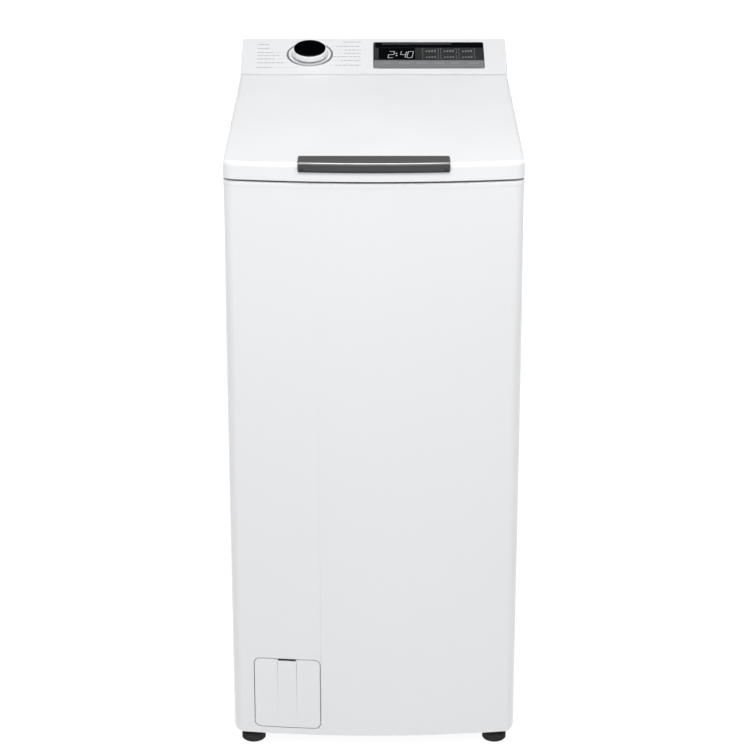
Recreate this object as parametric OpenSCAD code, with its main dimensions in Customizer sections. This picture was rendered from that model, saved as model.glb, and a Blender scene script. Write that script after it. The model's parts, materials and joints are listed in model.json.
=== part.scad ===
// Narrow top load washing machine with a horizontal drum between two bearings.
// Front towards -Y, +Z up, origin on the floor under the middle of the machine.

/* [Cabinet] */
// Width across the side panels
body_w = 400; // [396:1:404]
// Depth from the front of the handle to the rear screws
body_d = 600; // [596:1:606]
// Height from the floor to the top of the knob
body_h = 900; // [896:1:906]
// How far the middle of the front stands ahead of its corners
bulge = 16; // [14:1:18]
// Radius of the upright front corners
corner_r = 16; // [14:1:18]
// Thickness of the painted sheet
sheet_t = 1; // [0.8:0.1:1.2]
// Height of the panels' lower edge above the floor
floor_gap = 19; // [18:1:20]

/* [Lid] */
// Height of the lid's front face
lid_h = 24; // [23:0.5:25]
// Wall thickness of the lid mouldings
lid_t = 2.5; // [2:0.25:2.5]
// Width of the handle
handle_w = 200; // [160:5:240]
// How far the handle reaches back over the lid
handle_back = 34; // [28:1:40]

/* [Console] */
// Distance from the rear of the machine to the console's front edge
console_d = 103; // [100:1:104]
// Rise of the console from its front edge to its rear edge
console_rise = 31; // [30:0.5:32]
// Width of the display window
window_w = 167; // [150:1:170]
// Height of the display window along the slope
window_h = 78; // [70:1:80]
// Radius of the knob's black cap
cap_r = 24; // [22:0.5:25]

/* [Filter flap] */
// Width of the flap
flap_w = 93.5; // [88:0.5:96]
// Height of the flap
flap_h = 108; // [100:1:110]

/* [Drum] */
// Outer radius of the drum
drum_r = 214; // [210:1:215]
// Half the width of the drum
drum_half = 140; // [136:1:140]
// Number of holes round the drum in each row
holes_round = 10; // [6:1:12]

/* [Hidden] */
$fn = 64;

// outline of the cabinet seen from above
half_w = body_w / 2;
back_y = body_d / 2;
handle_proud = 4;
front_y = -body_d / 2 + handle_proud;
front_r = (half_w * half_w + bulge * bulge) / (2 * bulge);
arc_y = front_y + front_r;
fillet_x = half_w - corner_r;
fillet_y = arc_y - sqrt(pow(front_r - corner_r, 2) - pow(fillet_x, 2));
wrap_y = -248;
seam = 0.5;
screw_h = 2;
cover_y = back_y - screw_h - sheet_t;
frame_y = back_y - 6;

// heights
cap_clear = 3;
lid_top = body_h - console_rise - cap_clear;
lid_z0 = lid_top - lid_h;
panel_z0 = floor_gap;
panel_z1 = lid_z0 - 3;
deck_z1 = panel_z1 - 2;
deck_t = 3;
base_z0 = panel_z0 + 3;
base_z1 = 60;
flange = 12;
bottom_r = 9;

// lid and its hinge
console_y = back_y - console_d;
lid_rear_r = lid_h / 2;
rear_gap = 2;
hinge_y = console_y - rear_gap - lid_rear_r;
hinge_z = lid_top - lid_rear_r;
pin_r = 3;
hinge_x = 150;
bracket_half = 4;
lock_x = 60;
lock_y = -210;
fit = 0.05;

// console
tilt = atan(console_rise / console_d);
console_t = 3;
console_z0 = panel_z1 - 0.5;
knob_x = -97;
knob_s = 56;
knob_r = 27;
ring_r = 35;
ring_in = 30.5;
cap_t = 3;
knob_h = (body_h - lid_top - (knob_s + cap_r) * sin(tilt)) / cos(tilt);
shaft_r = 3;
window_x = 82.5;
window_s = 53.5;
window_t = 1.6;

// drum, tub and the mouth above them
drum_y = -20;
drum_z = 400;
drum_t = 1;
tub_in = drum_r + 12;
tub_out = tub_in + 5;
tub_half_in = drum_half + 9;
tub_half = tub_half_in + 5;
mouth_x = 126;
mouth_y = 165;
mouth_r = 18;
neck_z1 = 655;
skirt_z0 = 700;
shaft_drum_r = 12.5;
bearing_r = 26;
boss_x = tub_half + 6;
half_joint = 1;
heater_plug_r = 9.6;
heater_at = tub_in - 7;
heater_rod_r = 2.5;
heater_drop = 4;
sump_y = -150;
sump_r = 14;
sump_in = 11;
open_x = 122;
open_y = 112;
flap_pin_r = 1.5;
knuckle_r = 3.2;
flap_axis_z = sqrt(drum_r * drum_r - open_y * open_y) + 2.2;
leaf_gap = 1;

// drive
pulley_r = 150;
pulley_x0 = boss_x + 2;
pulley_x1 = pulley_x0 + 12;
motor_y = 150;
motor_z = 130;
motor_r = 55;
motor_x0 = -24;
motor_x1 = 112;
stator_r = 38;
air_gap = 0.6;
motor_shaft_r = 6;
motor_pulley_r = 11;
belt_clear = 0.3;
belt_t = 2;

// suspension
spring_x = 172;
spring_y = 190;
lug_z = 492;
lug_t = 10;
rail_z = 770;
rail_t = 4;
spring_r = 9;
wire_r = 1.8;
spring_turns = 10;
spring_z0 = 560;
spring_z1 = 720;
damper_x = 95;
damper_r = 11;
rod_r = 4;
rod_top = 160;

// flap, filter and pump
flap_x = -123;
flap_z0 = panel_z0 + 12;
flap_t = 2;
flap_corner = 8;
flap_gap = 0.8;
flap_axis_y = 3.9;
flap_axis_up = flap_corner;
flap_barrel_r = 2.5;
surround_y = 14;
surround_rim = 9;
flap_turn = asin(flap_x / front_r);
flap_y = arc_y - sqrt(front_r * front_r - flap_x * flap_x);
filter_z = 76;
filter_r = 31;
filter_y0 = -262;
filter_y1 = -130;
pump_y1 = -100;
pipe_r = 10;
pipe_in = 8;
pipe_x = -60;
pipe_y0 = -115;
pipe_y1 = 270;
pipe_bend = 16;
pipe_z1 = 560;
thread_r = 13.2;
valve_x = 60;
valve_y = 284;
valve_z = 792;
nut_r = 22;
spigot_y = back_y - 0.5;
gland_x = 150;
gland_z = 700;
gland_r = 9;

// feet
foot_x = 173;
foot_y = -262;
rear_foot_x = 165;
rear_foot_y = 262;
foot_r = 17;
stem_r = 5;
stem_top = 54;

module box(x0, x1, y0, y1, z0, z1) {
    translate([x0, y0, z0]) cube([x1 - x0, y1 - y0, z1 - z0]);
}

module rod_x(r, x0, x1, y, z) {
    translate([x0, y, z]) rotate([0, 90, 0]) cylinder(r = r, h = x1 - x0);
}

module rod_y(r, y0, y1, x, z) {
    translate([x, y0, z]) rotate([-90, 0, 0]) cylinder(r = r, h = y1 - y0);
}

module rod_z(r, z0, z1, x, y) {
    translate([x, y, z0]) cylinder(r = r, h = z1 - z0);
}

// an outline drawn in Y and Z, given thickness along X
module extrude_x(x0, x1) {
    translate([x0, 0, 0]) rotate([90, 0, 90]) linear_extrude(x1 - x0) children();
}

// an outline drawn in X and Z, given thickness along Y
module extrude_y(y0, y1) {
    translate([0, y1, 0]) rotate([90, 0, 0]) linear_extrude(y1 - y0) children();
}

module extrude_z(z0, z1) {
    translate([0, 0, z0]) linear_extrude(z1 - z0) children();
}

module rounded_rect(x0, x1, y0, y1, r) {
    translate([x0 + r, y0]) square([x1 - x0 - 2 * r, y1 - y0]);
    translate([x0, y0 + r]) square([x1 - x0, y1 - y0 - 2 * r]);
    for (x = [x0 + r, x1 - r], y = [y0 + r, y1 - r]) translate([x, y]) circle(r);
}

// the cabinet's outline from above, moved in by inset and cut off at back
module plan(inset = 0, back = back_y) {
    r = front_r - inset;
    touch_x = fillet_x * r / (front_r - corner_r);
    edge = half_w - inset;
    intersection() {
        translate([0, arc_y]) circle(r, $fn = 720);
        translate([-touch_x, front_y - 1]) square([2 * touch_x, back - front_y + 1]);
    }
    for (side = [-1, 1]) translate([side * fillet_x, fillet_y]) circle(corner_r - inset);
    translate([-edge, fillet_y]) square([2 * edge, back - fillet_y]);
}

module plan_ring(outer, inner, back) {
    difference() {
        plan(outer, back);
        plan(inner, back + 1);
    }
}

// the rectangular mouth over the drum, grown on every side
module mouth(grow = 0) {
    rounded_rect(-mouth_x - grow, mouth_x + grow, drum_y - mouth_y - grow,
        drum_y + mouth_y + grow, mouth_r + grow);
}

module mouth_ring(outer, inner) {
    difference() {
        mouth(outer);
        mouth(inner);
    }
}

module at_flap() {
    translate([flap_x, flap_y, flap_z0]) rotate([0, 0, flap_turn]) children();
}

// local Y runs up the slope of the console and local Z stands out of it
module on_console() {
    translate([0, console_y, lid_top]) rotate([tilt, 0, 0]) children();
}

module at_drum() {
    translate([0, drum_y, drum_z]) children();
}

module at_hinge() {
    translate([0, hinge_y, hinge_z]) children();
}

// ---------- cabinet ----------

module base_frame() {
    floor_z1 = base_z0 + 3;
    color("dimgray") difference() {
        union() {
            extrude_z(base_z0, base_z1) plan_ring(2, 6, back_y - 5);
            box(-half_w + 2, half_w - 2, back_y - 9, back_y - 5, base_z0, base_z1);
            difference() {
                extrude_z(base_z0, floor_z1) plan(2, back_y - 5);
                box(-60, 150, -235, -60, base_z0 - 1, floor_z1 + 1);
                box(-150, 150, 30, 230, base_z0 - 1, floor_z1 + 1);
            }
            box(flap_x - 25, flap_x + 25, -235, -150, base_z0, filter_z - 20);
            box(flap_x - 16, flap_x + 16, -90, -60, base_z0, filter_z - 15);
            for (side = [-1, 1]) {
                rod_z(8, base_z0, 56, side * foot_x, foot_y);
                rod_z(16, base_z0, 30, side * damper_x, drum_y);
            }
        }
        at_flap() box(-flap_w / 2 - surround_rim - 2, flap_w / 2 + surround_rim + 2,
            -10, surround_y + 1, base_z0 - flap_z0 - 1, base_z1);
        rod_y(filter_r + 5, -240, -140, flap_x, filter_z);
        rod_y(27, -95, -50, flap_x, filter_z);
        for (side = [-1, 1]) {
            rod_z(stem_r + fit, base_z0 - 1, 57, side * foot_x, foot_y);
            rod_z(stem_r, base_z0 - 1, 57, side * rear_foot_x, rear_foot_y);
        }
    }
}

module side_panel(side) {
    inner = half_w - sheet_t;
    z1 = panel_z1 - 1;
    color("white") mirror([side < 0 ? 1 : 0, 0, 0]) {
        box(inner, half_w, wrap_y + seam, back_y - 3, panel_z0, z1);
        box(half_w - flange, half_w, wrap_y + seam, back_y - 3, z1 - sheet_t, z1);
        box(half_w - 16, half_w, back_y - 3 - sheet_t, back_y - 3, panel_z0, z1);
        box(half_w - flange, half_w, wrap_y + seam, wrap_y + seam + sheet_t, base_z1 + 4, deck_z1 - 25);
    }
}

module flap_outline(grow) {
    rounded_rect(-flap_w / 2 - grow, flap_w / 2 + grow, -grow, flap_h + grow, flap_corner + grow);
}

module front_panel() {
    slack = 0.6;
    color("white") difference() {
        intersection() {
            union() {
                extrude_z(panel_z0, panel_z1) plan_ring(0, sheet_t, wrap_y);
                extrude_z(panel_z1 - sheet_t, panel_z1) plan_ring(0, flange, wrap_y);
                extrude_z(panel_z0, panel_z0 + sheet_t) plan_ring(0, flange, wrap_y);
            }
            extrude_y(front_y - 1, wrap_y + 1)
                rounded_rect(-half_w, half_w, panel_z0, panel_z1 + 2 * bottom_r, bottom_r);
        }
        at_flap() translate([0, 0, -slack]) extrude_y(-8, 8) flap_outline(flap_gap);
    }
}

module rear_cover() {
    y1 = back_y - screw_h;
    rib_h = 2;
    color("gainsboro") difference() {
        union() {
            box(-half_w + 8, half_w - 8, cover_y, y1, panel_z0 + 5, panel_z1 - 4);
            for (z = [200, 300, 400, 480]) box(-120, 120, cover_y - rib_h, cover_y, z - 6, z + 6);
        }
        rod_y(nut_r, y1 - 5, y1 + 1, valve_x, valve_z);
        rod_y(17, y1 - 5, y1 + 1, pipe_x, pipe_z1);
        rod_y(gland_r, y1 - 5, y1 + 1, gland_x, gland_z);
        for (x = [-110:20:110], z = [620, 632, 644, 656]) box(x - 7, x + 7, y1 - 5, y1 + 1, z - 2, z + 2);
    }
}

module rear_screws() {
    y0 = back_y - screw_h;
    color("silver") for (x = [-half_w + 12, half_w - 12], z = [80, 300, 540, 780]) difference() {
        rod_y(4.5, y0, back_y, x, z);
        box(x - 3, x + 3, y0 + 1, back_y + 1, z - 0.6, z + 0.6);
    }
}

module top_frame() {
    wall = 4;
    color("gainsboro") difference() {
        union() {
            extrude_z(deck_z1 - deck_t, deck_z1) plan(1.5, frame_y);
            extrude_z(deck_z1 - 22, deck_z1) plan_ring(1.5, wall, frame_y);
            extrude_z(skirt_z0, deck_z1) mouth(wall);
        }
        extrude_z(skirt_z0 - 1, deck_z1 + 1) mouth();
        box(-150, 150, console_y + 18, frame_y - 10, deck_z1 - 30, deck_z1 + 1);
        box(lock_x - 10, lock_x + 10, lock_y - 16, lock_y + 16, deck_z1 - 30, deck_z1 + 1);
        rod_y(7, drum_y + mouth_y - 5, drum_y + mouth_y + 8, valve_x, valve_z);
    }
}

// ---------- console ----------

module console_profile(inset, z0) {
    drop = inset / cos(tilt);
    y0 = console_y + inset;
    y1 = back_y - inset;
    polygon([[y0, z0], [y0, lid_top + (y0 - console_y) * tan(tilt) - drop],
        [y1, lid_top + (y1 - console_y) * tan(tilt) - drop], [y1, z0]]);
}

module console_panel() {
    color("white") difference() {
        extrude_x(-half_w, half_w) console_profile(0, console_z0);
        extrude_x(-half_w + console_t, half_w - console_t) console_profile(console_t, console_z0 - 1);
        on_console() {
            extrude_z(-window_t, 1) window_outline(0.1);
            extrude_z(-10, 1) window_outline(-5);
            rod_z(ring_r + fit, -1.2, 5, knob_x, knob_s);
            rod_z(9, -10, 5, knob_x, knob_s);
        }
    }
}

module window_outline(grow) {
    rounded_rect(window_x - window_w / 2 - grow, window_x + window_w / 2 + grow,
        window_s - window_h / 2 - grow, window_s + window_h / 2 + grow, 7 + grow);
}

module display_window() {
    color("black") on_console() extrude_z(-window_t, 0.2) window_outline(0);
}

module display_board() {
    z1 = -window_t - 3.5;
    color("darkgreen") on_console() difference() {
        union() {
            box(window_x - 76, window_x + 76, window_s - 31, window_s + 31, z1 - 1.6, z1);
            box(window_x - 64, window_x - 22, window_s - 12, window_s + 16, z1, z1 + 3.5);
            for (x = [0:2], y = [-1, 1]) rod_z(5, z1, z1 + 3.5, window_x + 8 + 27 * x, window_s + 3 + 8 * y);
        }
        for (x = [-71, 71], y = [-26, 26]) rod_z(1.6, z1 - 3, z1 + 1, window_x + x, window_s + y);
    }
}

module knob_ring() {
    color("silver") on_console() difference() {
        rod_z(ring_r, -1.2, 1.4, knob_x, knob_s);
        rod_z(ring_in, -2, 2, knob_x, knob_s);
    }
}

module knob_encoder() {
    color("dimgray") on_console() difference() {
        union() {
            box(knob_x - 12, knob_x + 12, knob_s - 12, knob_s + 12, -14, -5);
            rod_z(7, -6, -1.5, knob_x, knob_s);
            box(knob_x - 20, knob_x + 20, knob_s - 20, knob_s + 20, -15.6, -14);
        }
        rod_z(shaft_r + fit, -13, 0, knob_x, knob_s);
    }
}

module knob_body() {
    skirt = 2;
    color("white") on_console() translate([knob_x, knob_s, 0]) {
        translate([0, 0, skirt - 0.4]) cylinder(r = knob_r, h = skirt);
        translate([0, 0, 2 * skirt - 0.4]) cylinder(r1 = knob_r - 0.5, r2 = cap_r + 1,
            h = knob_h - cap_t - 2 * skirt + 0.4);
        translate([0, 0, -12]) cylinder(r = shaft_r, h = 15);
    }
}

module knob_cap() {
    color("black") on_console() translate([knob_x, knob_s, knob_h - cap_t])
        cylinder(r = cap_r, h = cap_t);
}

module control_module() {
    y1 = frame_y - 2;
    y0 = y1 - 58;
    color("dimgray") {
        box(-150, -30, y0, y1, 690, 790);
        for (x = [-140:14:-40]) box(x, x + 6, y0 - 6, y0, 700, 780);
        for (x = [-154, -30]) box(x, x + 4, y1 - 28, cover_y, 720, 760);
    }
}

// ---------- lid ----------

module lid_body(inset) {
    extrude_z(lid_z0 - (inset > 0 ? 1 : 0), lid_top - inset) plan(inset, hinge_y);
    at_hinge() rod_x(lid_rear_r - inset, -half_w + inset, half_w - inset, 0, 0);
}

module lid_outer() {
    slot = bracket_half + 1;
    color("white") difference() {
        lid_body(0);
        lid_body(lid_t);
        at_hinge() for (side = [-1, 1])
            box(side * hinge_x - slot, side * hinge_x + slot, -7, lid_rear_r + 1, -lid_rear_r - 1, 5.5);
    }
}

module lid_inner() {
    z0 = lid_z0 + 1;
    inset = lid_t + 0.1;
    boss_z = 818;
    rear = hinge_y - 16;
    color("whitesmoke") difference() {
        union() {
            extrude_z(z0, z0 + 2) plan(inset, rear);
            extrude_z(boss_z, z0 + 2) mouth(-8);
            for (side = [-1, 1], off = [-10, 7]) {
                box(side * hinge_x + off, side * hinge_x + off + 3, rear - 6, hinge_y, z0, hinge_z + 4);
                rod_x(5, side * hinge_x + off, side * hinge_x + off + 3, hinge_y, hinge_z);
            }
        }
        extrude_z(boss_z + 2, z0 + 3) mouth(-10);
        for (side = [-1, 1])
            rod_x(pin_r, side * hinge_x - 12, side * hinge_x + 12, hinge_y, hinge_z);
    }
}

// area inside the front's arc, moved forward by proud
module front_arc(proud = 0) {
    translate([0, arc_y - proud]) circle(front_r, $fn = 720);
}

module lid_handle() {
    rise = 2.4;
    drop = 11;
    half = handle_w / 2;
    color("dimgray") {
        extrude_z(lid_top, lid_top + rise) intersection() {
            front_arc(handle_proud);
            translate([-half, front_y - 10]) square([2 * half, 10 + handle_back]);
        }
        extrude_z(lid_top - drop, lid_top + rise) difference() {
            intersection() {
                front_arc(handle_proud);
                translate([-half, front_y - 10]) square([2 * half, 10 + handle_back]);
            }
            front_arc();
        }
    }
}

module lid_striker() {
    color("silver") difference() {
        box(lock_x - 4, lock_x + 4, lock_y - 6, lock_y + 6, 821, lid_z0 + 1);
        box(lock_x - 5, lock_x + 5, lock_y - 3, lock_y + 3, 824, 832);
    }
}

module lid_hinge_pins() {
    color("silver") for (side = [-1, 1])
        rod_x(pin_r, side * hinge_x - 12, side * hinge_x + 12, hinge_y, hinge_z);
}

module hinge_brackets() {
    color("dimgray") for (side = [-1, 1]) difference() {
        union() {
            box(side * hinge_x - bracket_half, side * hinge_x + bracket_half,
                hinge_y - 4.5, hinge_y + 4.5, deck_z1, hinge_z);
            rod_x(4.5, side * hinge_x - bracket_half, side * hinge_x + bracket_half, hinge_y, hinge_z);
            box(side * hinge_x - 12, side * hinge_x + 12, hinge_y - 9, hinge_y + 9, deck_z1, deck_z1 + 1.5);
        }
        rod_x(pin_r + fit, side * hinge_x - 20, side * hinge_x + 20, hinge_y, hinge_z);
    }
}

module lid_lock() {
    color("dimgray") difference() {
        box(lock_x - 40, lock_x + 18, lock_y - 18, lock_y + 18, 806, deck_z1 - deck_t);
        box(lock_x - 8, lock_x + 8, lock_y - 12, lock_y + 12, 816, deck_z1);
        box(lock_x - 36, lock_x - 7, lock_y - 4, lock_y + 4, 825, 831);
    }
}

module lock_bolt() {
    color("orangered") box(lock_x - 26, lock_x - 10, lock_y - 2.5, lock_y + 2.5, 825.5, 830.5);
}

module dispenser_housing() {
    color("whitesmoke") difference() {
        box(-95, 95, -90, 60, 786, 818);
        box(-93, 93, -91, 58, 788, 816);
    }
}

module detergent_tray() {
    wall = 1.5;
    color("lightsteelblue") difference() {
        box(-92.5, 92.5, -89.5, 55, 788.5, 815);
        for (cell = [[-91, -12], [-10.5, 42], [43.5, 91]])
            box(cell[0], cell[1], -91, 55 - wall, 788.5 + wall, 815 - wall);
    }
}

// ---------- filter flap and pump ----------

module filter_surround() {
    color("gainsboro") at_flap() difference() {
        union() {
            box(-flap_w / 2 - 4.5, flap_w / 2 + 4.5, 2.6, surround_y, -5, flap_h + 5);
            box(-flap_w / 2 - surround_rim, flap_w / 2 + surround_rim, 2.6, 5, -8, flap_h + surround_rim);
        }
        box(-flap_w / 2 - 1.5, flap_w / 2 + 1.5, 2, surround_y + 1, -2.2, flap_h + 2);
        rod_x(flap_pin_r + fit, -flap_w, flap_w, flap_axis_y, flap_axis_up);
    }
}

module filter_cover() {
    half = flap_w / 2;
    color("white") {
        difference() {
            intersection() {
                extrude_z(flap_z0 - 1, flap_z0 + flap_h + 1) plan_ring(0, flap_t, wrap_y);
                at_flap() extrude_y(-8, 8) flap_outline(0);
            }
            at_flap() extrude_y(-8, 8) rounded_rect(-12.5, 12.5, flap_h - 2.6, flap_h + 4, 1.2);
        }
        at_flap() {
            rod_x(flap_barrel_r, -half + 8, half - 8, flap_axis_y, flap_axis_up);
            for (side = [-1, 1]) rod_x(flap_pin_r, side > 0 ? half - 12 : -half - 4,
                side > 0 ? half + 4 : -half + 12, flap_axis_y, flap_axis_up);
        }
    }
}

module filter_housing() {
    color("gainsboro") difference() {
        union() {
            rod_y(filter_r + 5, filter_y0, filter_y1, flap_x, filter_z);
            rod_y(filter_r + 9, filter_y0, filter_y0 + 5, flap_x, filter_z);
            rod_z(sump_r, filter_z, 126, flap_x, sump_y);
        }
        rod_y(filter_r, filter_y0 - 1, filter_y1 - 4, flap_x, filter_z);
        rod_y(12, filter_y1 - 5, filter_y1 + 1, flap_x, filter_z);
        rod_z(sump_in, filter_z, 127, flap_x, sump_y);
    }
}

module pump_filter() {
    plug_y1 = filter_y0 + 26;
    color("steelblue") {
        rod_y(filter_r - fit, filter_y0, plug_y1, flap_x, filter_z);
        box(flap_x - 26, flap_x + 26, filter_y0 - 9, filter_y0 + 1, filter_z - 5, filter_z + 5);
        for (a = [45:90:315])
            rod_y(2.5, plug_y1 - 1, -172, flap_x + 19 * cos(a), filter_z + 19 * sin(a));
        difference() {
            rod_y(23, -172, -168, flap_x, filter_z);
            rod_y(14, -173, -167, flap_x, filter_z);
        }
    }
}

module drain_pump() {
    color("dimgray") difference() {
        union() {
            rod_y(34, filter_y1, pump_y1, flap_x, filter_z);
            rod_y(27, pump_y1, -50, flap_x, filter_z);
            rod_x(pipe_r, flap_x, pipe_x - pipe_bend, pipe_y0, filter_z);
        }
        rod_y(22, filter_y1 + 4, pump_y1 - 4, flap_x, filter_z);
        rod_y(12, filter_y1 - 1, filter_y1 + 5, flap_x, filter_z);
        rod_y(2.5 + fit, pump_y1 - 5, -66, flap_x, filter_z);
        rod_x(pipe_in, flap_x + 15, pipe_x - pipe_bend + 1, pipe_y0, filter_z);
    }
}

module pump_impeller() {
    color("white") {
        rod_y(2.5, filter_y1 + 6, -68, flap_x, filter_z);
        rod_y(6, filter_y1 + 6, pump_y1 - 6, flap_x, filter_z);
        translate([flap_x, 0, filter_z]) for (a = [0:90:270]) rotate([0, a, 0])
            box(0, 20, filter_y1 + 6, pump_y1 - 8, -1, 1);
    }
}

// a quarter bend that starts at the origin along +X and ends along +Y
module bend() {
    translate([0, pipe_bend, 0]) rotate([0, 0, -90]) rotate_extrude(angle = 90)
        translate([pipe_bend, 0]) difference() {
            circle(pipe_r);
            circle(pipe_in);
        }
}

module pipe_run(length) {
    rotate([0, 90, 0]) difference() {
        cylinder(r = pipe_r, h = length);
        translate([0, 0, -1]) cylinder(r = pipe_in, h = length + 2);
    }
}

module outlet_pipe() {
    low_len = pipe_y1 - pipe_y0 - 2 * pipe_bend;
    up_len = pipe_z1 - filter_z - 2 * pipe_bend;
    color("gray") {
        translate([pipe_x - pipe_bend, pipe_y0, filter_z]) bend();
        translate([pipe_x, pipe_y0 + pipe_bend, filter_z]) rotate([0, 0, 90]) pipe_run(low_len);
        translate([pipe_x, pipe_y1 - pipe_bend, filter_z]) rotate([90, 0, 90]) bend();
        translate([pipe_x, pipe_y1, filter_z + pipe_bend]) rotate([0, -90, 0]) pipe_run(up_len);
        translate([pipe_x, pipe_y1, pipe_z1 - pipe_bend]) rotate([0, -90, 0]) bend();
        translate([pipe_x, pipe_y1 + pipe_bend, pipe_z1]) rotate([0, 0, 90])
            pipe_run(spigot_y - pipe_y1 - pipe_bend);
    }
}

module tub_drain_hose() {
    color("black") difference() {
        union() {
            rod_z(sump_r + 3, 118, 168, flap_x, sump_y);
            for (z = [129:6:153]) rod_z(sump_r + 6, z, z + 3, flap_x, sump_y);
        }
        rod_z(sump_r + 0.1, 117, 169, flap_x, sump_y);
    }
}

module inlet_valve() {
    ear = nut_r + 6;
    color("white") difference() {
        union() {
            box(valve_x - 20, valve_x + 20, valve_y - 46, valve_y, valve_z - 20, valve_z + 16);
            box(valve_x - ear, valve_x + ear, valve_y - 3, valve_y, valve_z - 12, valve_z + 12);
            for (side = [-1, 1]) box(valve_x + side * (ear - 2) - 2, valve_x + side * (ear - 2) + 2,
                valve_y - 3, cover_y, valve_z - 12, valve_z + 12);
            rod_z(14, valve_z + 15, 830, valve_x, valve_y - 26);
            rod_y(thread_r, valve_y - 1, spigot_y, valve_x, valve_z);
            rod_y(7, valve_y - 62, valve_y - 45, valve_x, valve_z);
        }
        rod_y(8, valve_y - 9, back_y, valve_x, valve_z);
        rod_y(4, valve_y - 63, valve_y - 8, valve_x, valve_z);
    }
}

module fill_hose() {
    color("black") difference() {
        rod_y(9.5, drum_y + mouth_y + 4, valve_y - 46, valve_x, valve_z);
        rod_y(7, drum_y + mouth_y, valve_y - 45, valve_x, valve_z);
    }
}

module mains_gland() {
    color("black") difference() {
        union() {
            rod_y(13, back_y - screw_h, spigot_y, gland_x, gland_z);
            rod_y(gland_r - fit, back_y - 12, back_y - screw_h, gland_x, gland_z);
        }
        rod_y(4, back_y - 13, back_y, gland_x, gland_z);
    }
}

// ---------- feet ----------

module foot(x, y) {
    pad_h = 9;
    color("black") {
        rod_z(foot_r, 0, pad_h, x, y);
        translate([x, y, pad_h]) cylinder(r1 = foot_r, r2 = 11, h = 4);
        rod_z(stem_r, pad_h + 3, stem_top, x, y);
    }
}

module rear_feet() {
    color("black") for (side = [-1, 1]) {
        rod_z(foot_r, 0, 16, side * rear_foot_x, rear_foot_y);
        rod_z(11, 15, base_z0, side * rear_foot_x, rear_foot_y);
        rod_z(stem_r, base_z0 - 1, stem_top, side * rear_foot_x, rear_foot_y);
    }
}

// ---------- suspension ----------

module suspension_rails() {
    color("silver") for (side = [-1, 1]) difference() {
        union() {
            box(side > 0 ? 158 : -half_w + sheet_t, side > 0 ? half_w - sheet_t : -158,
                drum_y - spring_y - 18, drum_y + spring_y + 18, rail_z, rail_z + rail_t);
            box(side > 0 ? half_w - 4 : -half_w + sheet_t, side > 0 ? half_w - sheet_t : -half_w + 4,
                drum_y - spring_y - 18, drum_y + spring_y + 18, rail_z - 30, rail_z + rail_t);
        }
        for (end = [-1, 1])
            rod_z(4, rail_z - 1, rail_z + rail_t + 1, side * spring_x, drum_y + end * spring_y);
    }
}

// points of one ring of the coil's wire, at a fraction of the coil's length
function coil_ring(part, sides) = [for (k = [0:sides - 1])
    let (turn = 360 * spring_turns * part, a = 360 * k / sides, r = spring_r + wire_r * cos(a))
    [r * cos(turn), r * sin(turn), spring_z0 + (spring_z1 - spring_z0) * part + wire_r * sin(a)]];

module coil() {
    sides = 4;
    rings = spring_turns * 8;
    points = [for (i = [0:rings]) each coil_ring(i / rings, sides)];
    skin = [for (i = [0:rings - 1], k = [0:sides - 1])
        [i * sides + k, i * sides + (k + 1) % sides,
        (i + 1) * sides + (k + 1) % sides, (i + 1) * sides + k]];
    start = [for (k = [0:sides - 1]) sides - 1 - k];
    stop = [for (k = [0:sides - 1]) rings * sides + k];
    polyhedron(points, [start, each skin, stop]);
}

module suspension_spring() {
    cup = spring_r + 3;
    coil();
    cylinder_z(cup, spring_z1 - 3, spring_z1 + 4);
    cylinder_z(cup, spring_z0 - 4, spring_z0 + 3);
    cylinder_z(3, spring_z1, rail_z + rail_t + 4);
    cylinder_z(7, rail_z + rail_t, rail_z + rail_t + 4);
    cylinder_z(3, lug_z - 4, spring_z0);
    cylinder_z(7, lug_z - 4, lug_z);
}

module cylinder_z(r, z0, z1) {
    translate([0, 0, z0]) cylinder(r = r, h = z1 - z0);
}

module suspension_springs() {
    color("silver") for (side = [-1, 1], end = [-1, 1])
        translate([side * spring_x, drum_y + end * spring_y, 0]) suspension_spring();
}

module dampers() {
    color("dimgray") for (side = [-1, 1]) difference() {
        rod_z(damper_r, 30, 130, side * damper_x, drum_y);
        rod_z(rod_r + fit, 40, 131, side * damper_x, drum_y);
    }
}

module damper_rods() {
    color("silver") for (side = [-1, 1]) {
        rod_z(rod_r, 62, rod_top, side * damper_x, drum_y);
        rod_z(9, rod_top - 6, rod_top, side * damper_x, drum_y);
    }
}

module tub_bellows() {
    step = (skirt_z0 - neck_z1) / 9;
    color("dimgray") {
        extrude_z(neck_z1 - 10, neck_z1) mouth_ring(7, 4.1);
        extrude_z(skirt_z0, skirt_z0 + 10) mouth_ring(7, 4.1);
        for (i = [0:8]) extrude_z(neck_z1 + i * step, neck_z1 + (i + 1) * step)
            mouth_ring(i % 2 == 0 ? 9 : 14, i % 2 == 0 ? 2 : 5);
    }
}

// ---------- tub ----------

module tub_circle(r) {
    translate([drum_y, drum_z]) circle(r, $fn = 180);
}

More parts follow.
